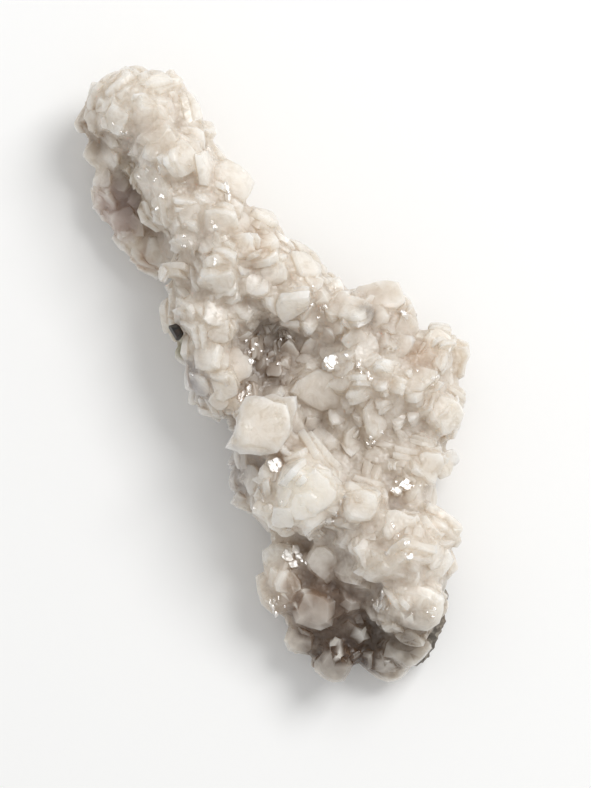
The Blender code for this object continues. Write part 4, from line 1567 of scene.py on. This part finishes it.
@dataclass(frozen=True)
class GranularRock:
    """Dark, fine-grained carbonate wall rock, broken by hammer: dull, with pale and rusty grains.

    Args:
        dark: its ground, as sRGB hex.
        pale: its carbonate grains.
        rust: the stain of its iron.
        grain: the size of its grains, in millimetres.
        patch: the size of its rusty patches, in millimetres.
        relief: how far its grains stand out, in millimetres.
    """

    dark: str = "#595249"
    pale: str = "#aba396"
    rust: str = "#75604c"
    grain: float = 0.6
    patch: float = 6.0
    relief: float = 0.15

    def material(self) -> bpy.types.Material:
        """Makes the rock's material.

        Returns:
            The material.
        """
        material, node, place = new_material("granular_rock")
        grains = node("TexVoronoi", {"Vector": place, "Scale": 1 / (self.grain * MM)})
        pale = node("SeparateColor", {"Color": grains["Color"]})["Red"]
        pale = node("MapRange", {"Value": pale, "From Min": 0.2, "From Max": 1.3})["Result"]
        rust = {"Vector": place, "Scale": 1 / (self.patch * MM), "Detail": 3.0}
        rust = {"Value": node("TexNoise", rust)["Fac"], "From Min": 0.5, "From Max": 0.7, "To Max": 0.6}
        rust = node("MapRange", rust)["Result"]
        colour = linear(self.dark)
        for share, tint in ((pale, self.pale), (rust, self.rust)):
            colour = node("Mix", {"Factor": share, 6: colour, 7: linear(tint)}, data_type="RGBA")[2]
        bump = {"Strength": 0.8, "Distance": self.relief * MM, "Height": grains["Distance"]}
        look = {"Base Color": colour, "Roughness": 0.8, "IOR": 1.6, "Normal": node("Bump", bump)["Normal"]}
        shader = node("BsdfPrincipled", look)
        node("OutputMaterial", {"Surface": shader["BSDF"]})
        return material


@dataclass
class BlackSphalerite:
    """The small black crystal at the waist's left edge: a stubby six-sided prism with broken corners.

    Args:
        at: its middle, in millimetres.
        length: along its axis.
        width: across its corners.
        depth: its flatness, as a share of the width.
        spin: the direction of its axis, in degrees.
        lean: how far the axis rises from level, in degrees.
        ends: its two ends: the side, how far the end is drawn in and how far it sits off the axis.
        cap: how far an end stands out of the prism, in millimetres.
        breaks: where its corners are broken off: a point of each plane and its direction.
        worn: how far its edges are worn, in millimetres.
    """

    at: tuple[float, float, float] = (-15.3, 6.8, 14.9)
    length: float = 2.5
    width: float = 2.1
    depth: float = 0.8
    spin: float = -59.0
    lean: float = 24.0
    ends: tuple[tuple[int, float, float], ...] = ((1, 0.30, 0.16), (-1, 0.12, -0.2))
    cap: float = 0.14
    breaks: tuple[tuple[tuple[float, float, float], tuple[float, float, float]], ...] = (
        ((0.55, 0.3, 0.7), (0.6, 0.5, 0.62)),
        ((-0.6, 0.2, -0.6), (-0.7, 0.4, -0.6)),
    )
    worn: float = 0.03

    def build(self) -> bpy.types.Object:
        """Models the crystal.

        Returns:
            The crystal.
        """
        bpy.ops.mesh.primitive_cylinder_add(
            vertices=6, radius=self.width / 2 * MM, depth=self.length * MM, end_fill_type="NGON"
        )
        prism = bpy.context.object
        prism.name = prism.data.name = "black_crystal"
        half = self.length / 2 * MM
        with editing(prism):
            bpy.ops.transform.resize(value=(1, self.depth, 1), center_override=(0, 0, 0))
            for side, inset, shift in self.ends:
                pick(prism, "VERT", lambda point: point.z * side > half * 0.99)
                bpy.ops.mesh.select_mode(type="FACE")
                bpy.ops.mesh.inset(thickness=inset * MM, depth=0)
                bpy.ops.transform.translate(value=(shift * MM, 0, self.cap * side * MM))
            for at, normal in self.breaks:
                bpy.ops.mesh.select_all(action="SELECT")
                bpy.ops.mesh.bisect(
                    plane_co=Vector(at) * MM, plane_no=normal, use_fill=True, clear_outer=True, threshold=1e-7
                )
            bpy.ops.mesh.select_all(action="SELECT")
            bpy.ops.mesh.select_mode(type="EDGE")
            bpy.ops.mesh.bevel(offset=self.worn * MM, segments=1, affect="EDGES")
        prism.matrix_world = (
            Matrix.Translation(Vector(self.at) * MM)
            @ Matrix.Rotation(math.radians(self.spin), 4, "Z")
            @ Matrix.Rotation(math.radians(90 - self.lean), 4, "Y")
        )
        bpy.ops.object.transform_apply()
        bpy.ops.object.shade_smooth_by_angle(angle=math.radians(20))
        LOG.info("sphalerite: %d faces", len(prism.data.polygons))
        return prism


@dataclass(frozen=True)
class BlackBlende:
    """Iron-rich sphalerite: nearly black, with a bright resinous lustre and brown depths.

    Args:
        black: its ground, as sRGB hex.
        brown: the light from its depths.
        cloud: the size of its brown clouds, in millimetres.
        ior: sphalerite's.
        lustre: how bright its reflections are, against the shader's usual half.
    """

    black: str = "#15120f"
    brown: str = "#3a2416"
    cloud: float = 0.9
    ior: float = 2.37
    lustre: float = 0.14

    def material(self) -> bpy.types.Material:
        """Makes the black crystal's material.

        Returns:
            The material.
        """
        material, node, place = new_material("black_blende")
        cloud = {"Vector": place, "Scale": 1 / (self.cloud * MM), "Detail": 3.0}
        cloud = node("TexNoise", cloud)["Fac"]
        share = node("MapRange", {"Value": cloud, "From Min": 0.5, "From Max": 0.75})["Result"]
        colour = {"Factor": share, 6: linear(self.black), 7: linear(self.brown)}
        colour = node("Mix", colour, data_type="RGBA")[2]
        rough = node("MapRange", {"Value": cloud, "To Min": 0.22, "To Max": 0.45})["Result"]
        look = {"Base Color": colour, "Roughness": rough, "IOR": self.ior, "Specular IOR Level": self.lustre}
        shader = node("BsdfPrincipled", look)
        node("OutputMaterial", {"Surface": shader["BSDF"]})
        return material


@dataclass
class Studio:
    """The pale floor, the soft light and the camera over the specimen.

    Args:
        frame_high: the height of the photograph at the specimen, in millimetres, at 0.16 mm to the pixel.
        middle: the middle of the photograph, in millimetres, from the pixel that is the specimen's origin.
        mid_height: the height of the plane that fills the frame, in millimetres.
        away: how far over it the camera is, in millimetres.
        sensor: the camera's sensor, in millimetres.
        floor: the height of the floor, in millimetres: just under the crystals that reach lowest.
        key_size: the side of the key light, in metres.
        key_away: how far away it is, in metres.
        key_power: its power, in watts.
        room: the strength of the light from all sides.
    """

    frame_high: float = 788 * 0.16
    middle: tuple[float, float] = ((295.5 - 273.5) * 0.16, (374.5 - 394.0) * 0.16)
    mid_height: float = 8.0
    away: float = 700.0
    sensor: float = 36.0
    floor: float = -0.3
    key_size: float = 0.4
    key_away: float = 0.9
    key_power: float = 4.6
    room: float = 0.58

    def build(self) -> None:
        """Makes the floor, light, world and camera."""
        bpy.ops.mesh.primitive_plane_add(size=4.0, location=(0, 0, self.floor * MM))
        floor = bpy.context.object
        floor.name = "floor"
        bpy.ops.object.transform_apply()
        matte = bpy.data.materials.new("studio_paper")
        matte.use_nodes = True
        shader = matte.node_tree.nodes["Principled BSDF"]
        shader.inputs["Base Color"].default_value = linear("#fdfdfc")
        shader.inputs["Roughness"].default_value = 0.9
        floor.data.materials.append(matte)
        floor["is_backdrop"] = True

        key = bpy.data.lights.new("key", "AREA")
        key.size = self.key_size
        key.energy = self.key_power
        lamp = bpy.data.objects.new("key", key)
        lamp.location = Vector(KEY_FROM) * self.key_away
        lamp.rotation_euler = Vector(KEY_FROM).to_track_quat("Z", "Y").to_euler()
        bpy.context.scene.collection.objects.link(lamp)

        world = bpy.data.worlds.new("room")
        bpy.context.scene.world = world
        world.use_nodes = True
        back = world.node_tree.nodes["Background"]
        back.inputs["Color"].default_value = linear("#ffffff")
        back.inputs["Strength"].default_value = self.room

        lens = bpy.data.cameras.new("camera")
        lens.sensor_width = self.sensor
        lens.lens = self.sensor * self.away / self.frame_high
        camera = bpy.data.objects.new("camera", lens)
        camera.location = (self.middle[0] * MM, self.middle[1] * MM, (self.away + self.mid_height) * MM)
        bpy.context.scene.collection.objects.link(camera)
        bpy.context.scene.camera = camera
        bpy.context.scene.view_settings.view_transform = "Standard"


def dress(piece: bpy.types.Object, material: bpy.types.Material, node: str) -> None:
    """Gives a piece its material, attaches it to the root body, and hides the solid that it takes the place
    of.

    Args:
        piece: the piece.
        material: its material.
        node: the solid that it takes the place of.
    """
    piece.data.materials.clear()
    piece.data.materials.append(material)
    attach(piece, "root")
    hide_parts(node)


def main() -> None:
    """Builds every piece in order and reports it."""
    logging.basicConfig(level=logging.INFO, format="%(message)s", stream=sys.stdout)
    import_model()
    solids = [[float(v) for v in corner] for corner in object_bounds()]
    shapes = Shapes()
    shapes.model()
    low, high = (Vector(corner) for corner in solids)
    room = Vector(PAST_THE_BOX) * MM
    cluster = Cluster(shapes, (low - room, high + room)).build()
    dress(cluster, SaddleDolomite().material(), "dolomite_cluster")
    dress(HostRock().build(), GranularRock().material(), "host_rock")
    dress(BlackSphalerite().build(), BlackBlende().material(), "sphalerite_crystal")
    Studio().build()


if __name__ == "__main__":
    main()
